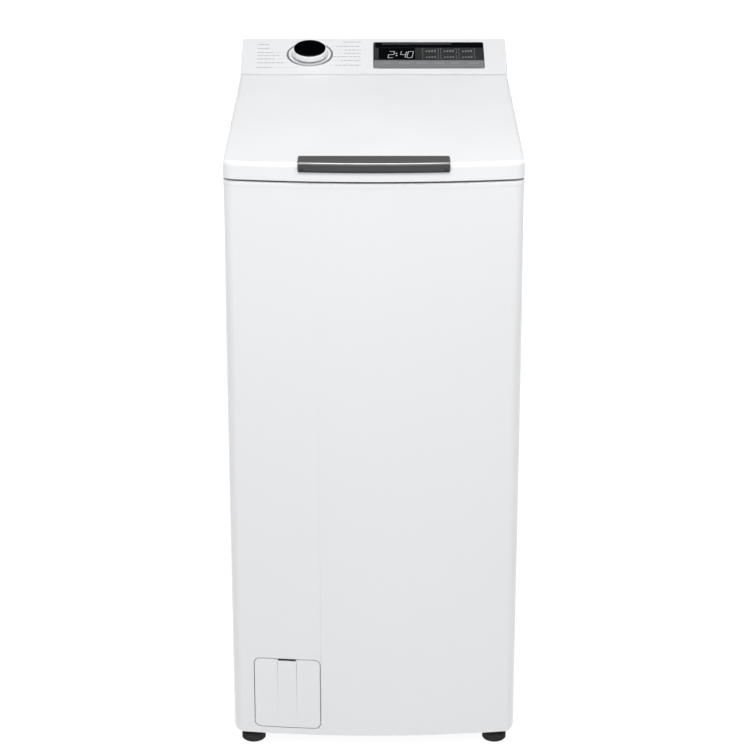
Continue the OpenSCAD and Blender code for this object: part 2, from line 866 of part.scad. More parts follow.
module tub_shell() {
    difference() {
        union() {
            extrude_x(-tub_half, tub_half) tub_circle(tub_out);
            extrude_x(-8, 8) tub_circle(tub_out + 10);
            extrude_x(-boss_x, boss_x) tub_circle(34);
            extrude_z(drum_z + 100, neck_z1) mouth(4);
            rod_z(sump_r, 160, 220, flap_x, sump_y);
            for (side = [-1, 1]) {
                for (end = [-1, 1])
                    box(side * (spring_x - 6) - 16, side * (spring_x - 6) + 16,
                        drum_y + end * spring_y - 11, drum_y + end * spring_y + 11, lug_z, lug_z + lug_t);
                box(side * damper_x - 12, side * damper_x + 12, drum_y - 12, drum_y + 12, rod_top, 185);
            }
        }
        extrude_x(-tub_half_in, tub_half_in) tub_circle(tub_in);
        extrude_z(drum_z + 100, neck_z1 + 1) mouth();
        extrude_x(-boss_x - 1, boss_x + 1) tub_circle(bearing_r);
        rod_z(sump_in, 150, 230, flap_x, sump_y);
        for (side = [-1, 1], end = [-1, 1])
            rod_z(4, lug_z - 1, lug_z + lug_t + 1, side * spring_x, drum_y + end * spring_y);
        rod_x(heater_plug_r, tub_half_in - 1, boss_x + 1, drum_y, drum_z - heater_at);
    }
}

module tub_left() {
    color("lightgray") intersection() {
        tub_shell();
        box(-half_w, -half_joint, -back_y, back_y, 0, body_h);
    }
}

module tub_right() {
    color("lightgray") intersection() {
        tub_shell();
        box(half_joint, half_w, -back_y, back_y, 0, body_h);
    }
}

module tub_gasket() {
    color("black") intersection() {
        tub_shell();
        box(-half_joint, half_joint, -back_y, back_y, 0, body_h);
    }
}

module counterweights() {
    color("darkgray") {
        intersection() {
            extrude_x(-115, 115) difference() {
                tub_circle(tub_out + 30);
                tub_circle(tub_out + 10);
            }
            box(-115, 115, -back_y, drum_y - 200, drum_z - 70, drum_z + 70);
        }
        for (side = [-1, 1]) intersection() {
            extrude_x(side * 65 - 50, side * 65 + 50) difference() {
                tub_circle(tub_out + 45);
                tub_circle(tub_out);
            }
            box(-120, 120, drum_y + 100, back_y, drum_z + 20, drum_z + 150);
        }
        for (side = [-1, 1]) intersection() {
            extrude_x(side * 60 - 45, side * 60 + 45) difference() {
                tub_circle(tub_out + 12);
                tub_circle(tub_out);
            }
            box(-115, 115, -back_y, drum_y - 200, drum_z - 60, drum_z + 60);
        }
    }
}

module drum_bearings() {
    color("gray") at_drum() for (side = [-1, 1]) difference() {
        rod_x(bearing_r, side > 0 ? tub_half_in : -boss_x, side > 0 ? boss_x : -tub_half_in, 0, 0);
        rod_x(shaft_drum_r + fit, -half_w, half_w, 0, 0);
        for (face = [tub_half_in - 1, boss_x - 1]) difference() {
            rod_x(21, side > 0 ? face : -face - 2, side > 0 ? face + 2 : -face, 0, 0);
            rod_x(16, -half_w, half_w, 0, 0);
        }
    }
}

module heater() {
    color("silver") {
        for (off = [-4, 4])
            rod_x(heater_rod_r, -110, tub_half_in + 2, drum_y + off, drum_z - heater_at - heater_drop);
        box(-112.5, -107.5, drum_y - 6.5, drum_y + 6.5,
            drum_z - heater_at - heater_drop - heater_rod_r, drum_z - heater_at - heater_drop + heater_rod_r);
        rod_x(heater_plug_r - fit, tub_half_in, boss_x + 2, drum_y, drum_z - heater_at);
        for (off = [-4, 4]) box(boss_x + 2, boss_x + 8, drum_y + off - 2.5, drum_y + off + 2.5,
            drum_z - heater_at - 0.5, drum_z - heater_at + 0.5);
    }
}

// ---------- drive ----------

module motor_housing() {
    bell = 5;
    color("dimgray") difference() {
        union() {
            rod_x(motor_r, motor_x0, motor_x1, motor_y, motor_z);
            for (x = [motor_x0 + 8, motor_x1 - 18]) extrude_x(x, x + 8) motor_arm();
        }
        rod_x(stator_r, motor_x0 + bell, motor_x1 - bell, motor_y, motor_z);
        rod_x(motor_shaft_r + fit, motor_x0 - 1, motor_x1 + 1, motor_y, motor_z);
        for (x = [motor_x0 + 20:12:motor_x1 - 25], a = [20, 160, 200, 340])
            translate([x, motor_y, motor_z]) rotate([a, 0, 0]) box(0, 5, -8, 8, motor_r - 9, motor_r + 2);
        extrude_x(-half_w, half_w) tub_circle(tub_out);
    }
}

// plate that joins the motor to the underside of the tub, in Y and Z
module motor_arm() {
    away = atan2(motor_z - drum_z, motor_y - drum_y);
    side_a = away + 12;
    side_b = away - 12;
    polygon([
        [motor_y + motor_r * 0.8 * cos(away + 90), motor_z + motor_r * 0.8 * sin(away + 90)],
        [drum_y + (tub_out - 2) * cos(side_a), drum_z + (tub_out - 2) * sin(side_a)],
        [drum_y + (tub_out - 2) * cos(side_b), drum_z + (tub_out - 2) * sin(side_b)],
        [motor_y + motor_r * 0.8 * cos(away - 90), motor_z + motor_r * 0.8 * sin(away - 90)]]);
}

module motor_rotor() {
    color("silver") {
        rod_x(stator_r - air_gap, motor_x0 + 10, motor_x1 - 10, motor_y, motor_z);
        rod_x(motor_shaft_r, motor_x0 - 3, pulley_x1 + 2, motor_y, motor_z);
        rod_x(motor_pulley_r, pulley_x0 - 1, pulley_x1 + 1, motor_y, motor_z);
    }
}

module drum_pulley() {
    rim = 8;
    color("lightgray") at_drum() difference() {
        rod_x(pulley_r, pulley_x0, pulley_x1, 0, 0);
        rod_x(shaft_drum_r, pulley_x0 - 1, pulley_x1 + 1, 0, 0);
        for (face = [pulley_x0 - 1, pulley_x1 - 4]) difference() {
            rod_x(pulley_r - rim, face, face + 5, 0, 0);
            rod_x(22, face - 1, face + 6, 0, 0);
        }
        for (a = [0:60:300]) rotate([a, 0, 0]) rod_x(32, pulley_x0 - 1, pulley_x1 + 1, 0, 85);
    }
}

// points round a loop that wraps both pulleys, at radius r1 on the drum and r2 on the motor
function belt_loop(r1, r2, away, spread) = [
    for (k = [0:96]) let (a = away + spread + (360 - 2 * spread) * k / 96)
        [drum_y + r1 * cos(a), drum_z + r1 * sin(a)],
    for (k = [0:16]) let (a = away - spread + 2 * spread * k / 16)
        [motor_y + r2 * cos(a), motor_z + r2 * sin(a)]];

module drive_belt() {
    r1 = pulley_r + belt_clear;
    r2 = motor_pulley_r + belt_clear;
    gap = norm([motor_y - drum_y, motor_z - drum_z]);
    away = atan2(motor_z - drum_z, motor_y - drum_y);
    spread = acos((r1 - r2) / gap);
    color("black") extrude_x(pulley_x0 + 1, pulley_x1 - 1) difference() {
        polygon(belt_loop(r1 + belt_t, r2 + belt_t, away, spread));
        polygon(belt_loop(r1, r2, away, spread));
    }
}

// ---------- drum ----------

module drum_ring() {
    difference() {
        rod_x(drum_r, -drum_half, drum_half, 0, 0, $fn = 180);
        rod_x(drum_r - drum_t, -drum_half - 1, drum_half + 1, 0, 0, $fn = 180);
    }
}

module drum_shell() {
    inner_knuckle = 66;
    outer_knuckle = 90;
    color("silver") at_drum() {
        difference() {
            drum_ring();
            box(-open_x, open_x, -open_y, open_y, 100, drum_r + 10);
            box(-inner_knuckle - 2, inner_knuckle + 2, -open_y - 5, open_y + 5, 100, drum_r + 10);
            for (i = [1:holes_round], x = [-100:50:100]) rotate([45 + 270 * i / (holes_round + 1), 0, 0])
                translate([x, 0, drum_r - 6]) cylinder(r = 2.5, h = 12);
        }
        for (end = [-1, 1]) {
            rod_x(flap_pin_r, -outer_knuckle, outer_knuckle, end * open_y, flap_axis_z);
            for (side = [-1, 1]) rod_x(knuckle_r, side > 0 ? inner_knuckle + 2 : -outer_knuckle,
                side > 0 ? outer_knuckle : -inner_knuckle - 2, end * open_y, flap_axis_z);
        }
    }
}

module drum_ends() {
    color("silver") at_drum() for (side = [-1, 1]) mirror([side < 0 ? 1 : 0, 0, 0]) difference() {
        union() {
            rod_x(drum_r - drum_t, drum_half - 3, drum_half - 1.5, 0, 0);
            rod_x(60, drum_half - 2, drum_half + 3, 0, 0);
            rod_x(shaft_drum_r, drum_half, side > 0 ? pulley_x1 + 2 : boss_x + 5, 0, 0);
        }
        for (a = [0:45:315]) rotate([a, 0, 0])
            rod_x(12, drum_half - 4, drum_half, 0, 150);
    }
}

module drum_lifters() {
    color("gainsboro") at_drum() intersection() {
        rod_x(drum_r - drum_t, -drum_half, drum_half, 0, 0);
        for (a = [115, 180, 245]) rotate([a, 0, 0]) {
            box(-110, 110, -16, 16, drum_r - 14, drum_r);
            box(-100, 100, -9, 9, drum_r - 38, drum_r - 13);
        }
    }
}

// one leaf of the drum's door, drawn on the rear side
module leaf() {
    knuckle_half = 65;
    edge = open_y - knuckle_r - 1;
    difference() {
        union() {
            intersection() {
                drum_ring();
                union() {
                    box(-open_x + 3, open_x - 3, leaf_gap, edge, 100, drum_r + 1);
                    box(-knuckle_half, knuckle_half, edge - 1, open_y - 1, 100, drum_r + 1);
                }
            }
            rod_x(knuckle_r, -knuckle_half, knuckle_half, open_y, flap_axis_z);
        }
        rod_x(flap_pin_r + fit, -open_x, open_x, open_y, flap_axis_z);
    }
}

module drum_flap_rear() {
    color("silver") at_drum() leaf();
}

module drum_flap_front() {
    color("silver") at_drum() {
        mirror([0, 1, 0]) leaf();
        for (side = [-1, 1]) box(side > 0 ? 25.5 : -28, side > 0 ? 28 : -25.5,
            -18, -4, drum_r - 1.2, drum_r + 3.5);
    }
}

module flap_latch() {
    color("steelblue") at_drum() {
        box(-25, 25, -17, -5, drum_r + 0.3, drum_r + 3.3);
        box(-12, 12, -6, -0.5, drum_r + 0.3, drum_r + 2);
    }
}

base_frame();
side_panel(-1);  // side_panel_left
side_panel(1);  // side_panel_right
front_panel();
rear_cover();
rear_screws();
top_frame();
console_panel();
display_window();
display_board();
knob_ring();
knob_encoder();
control_module();
lid_lock();
hinge_brackets();
suspension_rails();
inlet_valve();
fill_hose();
mains_gland();
filter_surround();
filter_housing();
drain_pump();
outlet_pipe();
tub_drain_hose();
rear_feet();
dampers();
tub_bellows();
suspension_springs();
lid_outer();
lid_inner();
lid_handle();
lid_striker();
lid_hinge_pins();
dispenser_housing();
detergent_tray();
knob_body();
knob_cap();
filter_cover();
pump_filter();
pump_impeller();
foot(-foot_x, foot_y);  // front_foot_left
foot(foot_x, foot_y);  // front_foot_right
lock_bolt();
tub_left();
tub_right();
tub_gasket();
counterweights();
drum_bearings();
motor_housing();
heater();
drive_belt();
damper_rods();
drum_shell();
drum_ends();
drum_lifters();
drum_pulley();
drum_flap_front();
drum_flap_rear();
flap_latch();
motor_rotor();
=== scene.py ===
import json
import math

import bmesh
import bpy
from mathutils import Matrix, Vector


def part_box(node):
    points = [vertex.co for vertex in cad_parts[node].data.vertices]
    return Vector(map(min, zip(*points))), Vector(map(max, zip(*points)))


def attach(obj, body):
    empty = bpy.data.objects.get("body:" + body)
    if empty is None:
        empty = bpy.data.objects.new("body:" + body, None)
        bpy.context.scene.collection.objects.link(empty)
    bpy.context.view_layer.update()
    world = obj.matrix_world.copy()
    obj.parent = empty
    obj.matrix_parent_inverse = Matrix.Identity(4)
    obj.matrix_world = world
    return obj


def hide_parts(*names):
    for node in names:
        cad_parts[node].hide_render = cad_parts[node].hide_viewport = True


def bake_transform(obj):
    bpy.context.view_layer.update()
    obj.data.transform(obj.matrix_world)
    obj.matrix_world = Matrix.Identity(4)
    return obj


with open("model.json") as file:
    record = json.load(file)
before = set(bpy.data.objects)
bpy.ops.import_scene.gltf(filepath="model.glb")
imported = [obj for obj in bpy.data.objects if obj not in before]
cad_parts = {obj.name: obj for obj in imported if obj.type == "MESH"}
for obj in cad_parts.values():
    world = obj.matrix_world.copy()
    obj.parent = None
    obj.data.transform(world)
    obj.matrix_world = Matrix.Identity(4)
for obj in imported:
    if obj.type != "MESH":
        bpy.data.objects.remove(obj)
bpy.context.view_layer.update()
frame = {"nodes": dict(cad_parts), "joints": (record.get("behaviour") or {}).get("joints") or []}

MM = 0.001
JOINTS = {j["name"]: j for j in frame["joints"]}

# ---------- sizes that the pieces share ----------

panel_lo, panel_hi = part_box("front_panel")
lid_lo, lid_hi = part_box("lid_outer")
console_lo, console_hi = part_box("console_panel")
HALF = panel_hi.x
FRONT = panel_lo.y
BULGE = 16 * MM
CORNER = 16 * MM
ARC_R = (HALF ** 2 + BULGE ** 2) / (2 * BULGE)
ARC_Y = FRONT + ARC_R
FILLET_X = HALF - CORNER
FILLET_Y = ARC_Y - math.sqrt((ARC_R - CORNER) ** 2 - FILLET_X ** 2)
TURN = math.asin(FILLET_X / (ARC_R - CORNER))
QUARTER = math.pi / 2


# ---------- meshes ----------

class Shape:
    """Vertices that are shared wherever two corners meet, and the faces between them."""

    def __init__(self):
        self.points, self.faces, self.index = [], [], {}

    def vertex(self, point):
        key = tuple(round(c, 7) for c in point)
        if key not in self.index:
            self.index[key] = len(self.points)
            self.points.append(tuple(point))
        return self.index[key]

    def face(self, *corners):
        ids = [self.vertex(c) for c in corners]
        ids = [v for i, v in enumerate(ids) if v != ids[i - 1]]
        if len(set(ids)) == len(ids) >= 3:
            self.faces.append(ids)

    def loft(self, loops, closed=True):
        """Quads between each loop of points and the next."""
        for a, b in zip(loops, loops[1:]):
            last = len(a) if closed else len(a) - 1
            for i in range(last):
                j = (i + 1) % len(a)
                self.face(a[i], a[j], b[j], b[i])

    def tube(self, loops):
        """A loft with both its ends closed."""
        self.loft(loops)
        self.face(*reversed(loops[0]))
        self.face(*loops[-1])
        return self


PIECES = {}


def build(name, shape, body, mat, stands_for=(), smooth=32):
    mesh = bpy.data.meshes.new(name)
    mesh.from_pydata(shape.points, [], shape.faces)
    work = bmesh.new()
    work.from_mesh(mesh)
    bmesh.ops.recalc_face_normals(work, faces=work.faces)
    if work.calc_volume(signed=True) < 0 and all(e.is_manifold for e in work.edges):
        bmesh.ops.reverse_faces(work, faces=work.faces)
    work.to_mesh(mesh)
    work.free()
    obj = bpy.data.objects.new(name, mesh)
    bpy.context.scene.collection.objects.link(obj)
    return dress(obj, body, mat, stands_for, smooth)


def dress(obj, body, mat, stands_for=(), smooth=32):
    """Gives a piece its material, its body and its shading."""
    PIECES[obj.name] = obj
    obj.data.materials.clear()
    obj.data.materials.append(mat)
    obj.data.shade_smooth()
    obj.data.set_sharp_from_angle(angle=math.radians(smooth))
    if body:
        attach(obj, body)
    if stands_for:
        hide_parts(*stands_for)
    return obj


def apply_modifiers(obj):
    """Replaces the piece's mesh with what its modifiers make of it."""
    depsgraph = bpy.context.evaluated_depsgraph_get()
    mesh = bpy.data.meshes.new_from_object(obj.evaluated_get(depsgraph))
    obj.modifiers.clear()
    obj.data = mesh
    return obj


def carve(obj, cutters, smooth=32):
    """Cuts closed shapes out of a piece."""
    for k, shape in enumerate(cutters):
        tool = build(f"cutter_{k}", shape, "cabinet", obj.data.materials[0])
        tool.hide_render = True
        cut = obj.modifiers.new("cut", "BOOLEAN")
        cut.operation, cut.solver, cut.object = "DIFFERENCE", "EXACT", tool
        apply_modifiers(obj)
        del PIECES[tool.name]
        bpy.data.objects.remove(tool)
    obj.data.set_sharp_from_angle(angle=math.radians(smooth))
    return obj


def thicken(obj, thickness, smooth=32):
    """Turns an open sheet into a wall, inwards from the faces that show."""
    wall = obj.modifiers.new("wall", "SOLIDIFY")
    wall.thickness, wall.offset = thickness, -1
    wall.use_even_offset = True
    apply_modifiers(obj)
    obj.data.set_sharp_from_angle(angle=math.radians(smooth))
    return obj


def plan_point(phi, inset=0.0):
    """A point of the cabinet's outline from above, whose outward normal is phi from the front."""
    if abs(phi) <= TURN:
        return (ARC_R - inset) * math.sin(phi), ARC_Y - (ARC_R - inset) * math.cos(phi)
    side = math.copysign(FILLET_X, phi)
    return side + (CORNER - inset) * math.sin(phi), FILLET_Y - (CORNER - inset) * math.cos(phi)


def spread(start, stop, steps):
    return [start + (stop - start) * k / steps for k in range(steps + 1)]


def plan_angles(arc_steps=60, corner_steps=10):
    left = spread(-QUARTER, -TURN, corner_steps)
    return left[:-1] + spread(-TURN, TURN, arc_steps) + [-a for a in reversed(left[:-1])]


def round_corner(centre, radius, start, stop, steps=5):
    return [(centre[0] + radius * math.cos(a), centre[1] + radius * math.sin(a))
            for a in spread(start, stop, steps)]


def quarter_round(radius, steps):
    """How far the points of a rounded edge lie in from its side and down from its top, side first."""
    return [(radius * (1 - math.cos(a)), radius * (1 - math.sin(a))) for a in spread(0.0, QUARTER, steps)]


def circle(radius, segments, x=0.0, y=0.0):
    """Points round a circle, anticlockwise."""
    return [(x + radius * math.cos(a), y + radius * math.sin(a))
            for a in spread(0.0, 4 * QUARTER, segments)[:-1]]


def rounded_rect(x0, x1, y0, y1, r, steps=6):
    """Points round a rectangle with round corners, anticlockwise from its lower right corner."""
    points = []
    for cx, cy, start in ((x1 - r, y0 + r, -QUARTER), (x1 - r, y1 - r, 0.0),
                          (x0 + r, y1 - r, QUARTER), (x0 + r, y0 + r, 2 * QUARTER)):
        points += round_corner((cx, cy), r, start, start + QUARTER, steps)
    return points


def offset_loop(loop, distance):
    """Moves a closed anticlockwise loop outwards, each point along its mean edge normal."""
    moved = []
    for i, p in enumerate(loop):
        a, b = loop[i - 1], loop[(i + 1) % len(loop)]
        dx, dy = b[0] - a[0], b[1] - a[1]
        size = math.hypot(dx, dy) or 1.0
        moved.append((p[0] + distance * dy / size, p[1] - distance * dx / size))
    return moved


def prism(outline, place, bottom, top, edge=0.0, steps=3):
    """A closed slab over an outline. place turns (x, y, height) into a point. Its top edge is rounded."""
    levels = [(0.0, bottom)]
    if edge:
        levels += [(inset, top - down) for inset, down in quarter_round(edge, steps)]
    else:
        levels += [(0.0, top)]
    return Shape().tube([[place(x, y, h) for x, y in offset_loop(outline, -inset)] for inset, h in levels])


def lathe(profile, place, segments=72):
    """Turns a profile of (radius, height) points about a local axis. place makes the world point."""
    shape = Shape()
    loops = [[place(x, y, h) for x, y in circle(r, segments)] for r, h in profile]
    shape.loft(loops)
    if profile[0] != profile[-1]:
        shape.face(*loops[0])
        shape.face(*loops[-1])
    return shape


def upright_at(x, y):
    """Places a shape's points about the vertical line through x and y."""
    return lambda a, b, h: (x + a, y + b, h)


def join(name, shapes, body, mat, stands_for=()):
    """Several closed shapes as one piece."""
    whole = Shape()
    for shape in shapes:
        first = len(whole.points)
        whole.points += shape.points
        whole.faces += [[first + v for v in f] for f in shape.faces]
    return build(name, whole, body, mat, stands_for)


# ---------- materials ----------

class Paint:
    """A node material on the object's own coordinates, with its shader's plain values set directly."""

    def __init__(self, name, metallic=0.0, **values):
        self.mat = bpy.data.materials.new(name)
        self.mat.use_nodes = True
        self.tree = self.mat.node_tree
        self.shader = self.tree.nodes["Principled BSDF"]
        self.shader.inputs["Metallic"].default_value = metallic
        for key, value in values.items():
            self.shader.inputs[key.replace("_", " ").title().replace("Ior", "IOR")].default_value = value
        self.coords = self.node("ShaderNodeTexCoord").outputs["Object"]
        self.height = None

    def node(self, kind, **settings):
        made = self.tree.nodes.new(kind)
        for key, value in settings.items():
            if key in made.inputs:
                made.inputs[key].default_value = value
            else:
                setattr(made, key, value)
        return made

    def link(self, a, b):
        self.tree.links.new(a, b)

    def stretched(self, scale):
        mapping = self.node("ShaderNodeMapping")
        mapping.inputs["Scale"].default_value = scale
        self.link(self.coords, mapping.inputs["Vector"])
        return mapping.outputs["Vector"]

    def noise(self, scale, detail=4.0, stretch=None):
        made = self.node("ShaderNodeTexNoise", Scale=scale, Detail=detail)
        self.link(self.stretched(stretch) if stretch else self.coords, made.inputs["Vector"])
        return made.outputs["Fac"]

    def cells(self, scale, output="Color", stretch=None):
        made = self.node("ShaderNodeTexVoronoi", Scale=scale)
        self.link(self.stretched(stretch) if stretch else self.coords, made.inputs["Vector"])
        return made.outputs[output]

    def ramp(self, value, stops):
        made = self.node("ShaderNodeValToRGB")
        ramp = made.color_ramp
        while len(ramp.elements) < len(stops):
            ramp.elements.new(0.5)
        for element, (at, colour) in zip(ramp.elements, stops):
            element.position = at
            element.color = (*colour, 1.0)
        self.link(value, made.inputs["Fac"])
        return made.outputs["Color"]

    def colour(self, value, dark, light, low=0.3, high=0.7):
        self.link(self.ramp(value, [(low, dark), (high, light)]), self.shader.inputs["Base Color"])
        return self

    def rough(self, value, low, high):
        made = self.node("ShaderNodeMapRange")
        made.inputs["To Min"].default_value = low
        made.inputs["To Max"].default_value = high
        self.link(value, made.inputs["Value"])
        self.link(made.outputs["Result"], self.shader.inputs["Roughness"])
        return self

    def bump(self, value, distance, strength=1.0):
        made = self.node("ShaderNodeBump", Strength=strength, Distance=distance)
        self.link(value, made.inputs["Height"])
        if self.height is not None:
            self.link(self.height, made.inputs["Normal"])
        self.height = made.outputs["Normal"]
        self.link(self.height, self.shader.inputs["Normal"])
        return self


def grey(value, blue=0.0):
    return value - blue / 2, value, value + blue


def moulding(name, tone, rough=0.35, blue=0.004, grain=0.00002, coat=0.0, tint=(1.0, 1.0, 1.0)):
    """Injection moulded plastic with a fine spark-eroded grain."""
    dark, light = (tuple(c * t for c, t in zip(grey(level, blue), tint)) for level in (tone * 0.97, tone))
    paint = Paint(name, specular_ior_level=0.5, coat_weight=coat, coat_roughness=0.12)
    wide = paint.noise(6.0, 3.0)
    paint.colour(wide, dark, light)
    paint.rough(paint.noise(40.0), rough * 0.85, rough * 1.15)
    return paint.bump(paint.noise(1400.0, 2.0), grain).mat


def enamel(name, tone=0.86):
    """White powder coat with a faint orange peel."""
    paint = Paint(name, specular_ior_level=0.5, coat_weight=0.35, coat_roughness=0.15)
    paint.colour(paint.noise(3.0, 4.0), grey(tone * 0.985, 0.013), grey(tone, 0.015))
    paint.rough(paint.noise(25.0), 0.26, 0.34)
    paint.bump(paint.noise(330.0, 2.0), 0.00003)
    return paint.bump(paint.noise(1500.0, 1.0), 0.00001).mat


def brushed(name, tone, rough, stretch, blue=0.0, grain=0.00004, metallic=1.0):
    """Metal with fine lines along one direction."""
    paint = Paint(name, metallic=metallic)
    lines = paint.noise(1.0, 6.0, stretch)
    paint.colour(lines, grey(tone * 0.82, blue), grey(tone * 1.08, blue), 0.25, 0.75)
    paint.rough(paint.noise(1.0, 3.0, stretch), rough * 0.75, rough * 1.3)
    return paint.bump(lines, grain).mat


def perforated(name, radius, middle, pitch, hole):
    """Stainless sheet rolled into a drum about the x axis, with rows of small holes that are not cut: they
    are painted near-black as painted shade and pressed in by bump.
    """
    paint = Paint(name, metallic=1.0)

    def math_node(kind, *inputs):
        made = paint.node("ShaderNodeMath", operation=kind)
        for socket, value in zip(made.inputs, inputs):
            if isinstance(value, (int, float)):
                socket.default_value = value
            else:
                paint.link(value, socket)
        return made.outputs["Value"]

    split = paint.node("ShaderNodeSeparateXYZ")
    paint.link(paint.coords, split.inputs["Vector"])
    x, y, z = (split.outputs[axis] for axis in "XYZ")
    around = math_node("ARCTAN2", math_node("SUBTRACT", y, middle.y), math_node("SUBTRACT", z, middle.z))
    rows = round(2 * math.pi * radius / pitch)
    u = math_node("MULTIPLY", x, 1 / pitch)
    v = math_node("MULTIPLY", around, rows / (2 * math.pi))
    off = math_node("MULTIPLY", math_node("MODULO", math_node("ABSOLUTE", math_node("FLOOR", v)), 2.0), 0.5)
    u = math_node("SUBTRACT", math_node("FRACT", math_node("ADD", u, off)), 0.5)
    v = math_node("SUBTRACT", math_node("FRACT", v), 0.5)
    far = math_node("SQRT", math_node("ADD", math_node("MULTIPLY", u, u), math_node("MULTIPLY", v, v)))
    # Painted shade: inside each hole the sheet is near-black and rough, for the shade seen through the
    # hole.
    solid = paint.ramp(far, [(hole / pitch * 0.9, (0.0, 0.0, 0.0)), (hole / pitch * 1.1, (1.0, 1.0, 1.0))])
    lines = paint.ramp(paint.noise(1.0, 6.0, (8.0, 500.0, 500.0)), [(0.25, grey(0.46)), (0.75, grey(0.62))])
    mix = paint.node("ShaderNodeMix", data_type="RGBA", blend_type="MULTIPLY")
    mix.inputs[0].default_value = 1.0
    paint.link(lines, mix.inputs[6])
    paint.link(paint.ramp(solid, [(0.0, grey(0.02)), (1.0, grey(1.0))]), mix.inputs[7])
    paint.link(mix.outputs[2], paint.shader.inputs["Base Color"])
    paint.rough(solid, 0.9, 0.27)
    return paint.bump(solid, 0.0006).mat


def zinc(name):
    """Zinc coated sheet with its crystal spangle."""
    paint = Paint(name, metallic=1.0)
    spangle = paint.cells(70.0)
    paint.colour(spangle, (0.42, 0.44, 0.46), (0.66, 0.68, 0.70), 0.0, 1.0)
    paint.rough(spangle, 0.30, 0.48)
    return paint.bump(paint.noise(500.0), 0.00002).mat


def rubber(name, tone=0.02):
    paint = Paint(name, specular_ior_level=0.35)
    paint.colour(paint.noise(60.0), grey(tone * 0.8), grey(tone * 1.5))
    paint.rough(paint.noise(90.0), 0.62, 0.85)
    return paint.bump(paint.noise(900.0, 3.0), 0.00008).mat


def concrete(name):
    paint = Paint(name, specular_ior_level=0.3)
    paint.colour(paint.noise(45.0, 8.0), (0.22, 0.215, 0.205), (0.42, 0.41, 0.39), 0.3, 0.75)
    paint.rough(paint.noise(80.0), 0.8, 0.95)
    paint.bump(paint.cells(260.0, "Distance"), 0.0006, 0.6)
    return paint.bump(paint.noise(700.0, 6.0), 0.0004).mat


def cast_metal(name, tone=0.5):
    paint = Paint(name, metallic=1.0)
    paint.colour(paint.noise(70.0, 6.0), grey(tone * 0.75), grey(tone))
    paint.rough(paint.noise(120.0), 0.42, 0.62)
    return paint.bump(paint.noise(800.0, 4.0), 0.00015).mat


def polished(name, tone, rough=0.12, blue=0.01):
    paint = Paint(name, metallic=1.0)
    paint.colour(paint.noise(30.0), grey(tone * 0.93, blue), grey(tone, blue))
    paint.rough(paint.noise(160.0), rough * 0.7, rough * 1.4)
    return paint.bump(paint.noise(600.0), 0.000004).mat


def black_glass(name, tone=0.006, rough=0.08, level=0.4):
    paint = Paint(name, specular_ior_level=level)
    paint.colour(paint.noise(12.0), grey(tone * 0.7, 0.0003), grey(tone * 1.4, 0.0006))
    return paint.rough(paint.noise(55.0, 5.0), rough * 0.7, rough * 1.6).mat


def glow(name, colour, strength):
    """A lit segment of the display."""
    paint = Paint(name, emission_strength=strength)
    paint.colour(paint.noise(300.0), colour, colour)
    paint.link(paint.ramp(paint.noise(400.0), [(0.2, tuple(c * 0.85 for c in colour)), (0.8, colour)]),
               paint.shader.inputs["Emission Color"])
    return paint.rough(paint.noise(300.0), 0.3, 0.4).mat


def board(name):
    """Green circuit board with its copper tracks under the lacquer."""
    paint = Paint(name, coat_weight=0.4, coat_roughness=0.2)
    tracks = paint.node("ShaderNodeTexBrick", Scale=90.0)
    paint.link(paint.coords, tracks.inputs["Vector"])
    tracks.inputs["Color1"].default_value = (0.01, 0.09, 0.035, 1)
    tracks.inputs["Color2"].default_value = (0.012, 0.11, 0.045, 1)
    tracks.inputs["Mortar"].default_value = (0.03, 0.22, 0.09, 1)
    paint.link(tracks.outputs["Color"], paint.shader.inputs["Base Color"])
    paint.rough(paint.noise(200.0), 0.3, 0.45)
    return paint.bump(tracks.outputs["Fac"], 0.00004).mat


WHITE = enamel("white_enamel")
WHITE_GLOSS = moulding("white_gloss", 0.88, 0.4, 0.014, coat=0.06, grain=0.000004)
# Painted shade: a darker copy of the lid's white plastic, so that the console reads less bright than the
# lid under these lamps.
WHITE_GLOSS_PAINTED_SHADE = moulding("white_gloss_painted_shade", 0.78, 0.4, 0.012, coat=0.06, grain=0.000004)
WHITE_PLASTIC = moulding("white_plastic", 0.68, 0.42, 0.008)
GREY_PLASTIC = moulding("grey_plastic", 0.16, 0.45, 0.003)
BLACK_PLASTIC = moulding("black_plastic", 0.02, 0.5, 0.0)
TUB_PLASTIC = moulding("tub_plastic", 0.55, 0.55, -0.004, 0.00005)
BLUE_PLASTIC = moulding("blue_plastic", 0.2, 0.35, 0.1)
PALE_BLUE = moulding("pale_blue_plastic", 0.5, 0.35, 0.12)
RED_PLASTIC = moulding("red_plastic", 0.45, 0.4, 0.0, tint=(1.0, 0.1, 0.07))
GUNMETAL = brushed("gunmetal", 0.135, 0.4, (6.0, 900.0, 900.0), -0.004, metallic=0.3)
# Painted shade: a darker copy of the handle's metal, for the front face below the bend, which catches less
# light.
GUNMETAL_PAINTED_SHADE = brushed("gunmetal_painted_shade", 0.06, 0.36, (6.0, 900.0, 900.0), 0.006, metallic=0.3)
# Painted highlight: a brighter copy of the handle's metal, for the light caught along the handle's bend.
GUNMETAL_PAINTED_HIGHLIGHT = brushed("gunmetal_painted_highlight", 0.5, 0.3, (6.0, 1200.0, 1200.0), 0.0)
STAINLESS = brushed("stainless", 0.6, 0.24, (8.0, 700.0, 700.0), -0.004)
DRUM_AXIS = Vector(JOINTS["drum_spin"]["pos_m"])
DRUM_SHEET = perforated("drum_sheet", 214 * MM, DRUM_AXIS, 11 * MM, 1.7 * MM)
STEEL = polished("bright_steel", 0.6, 0.22, 0.0)
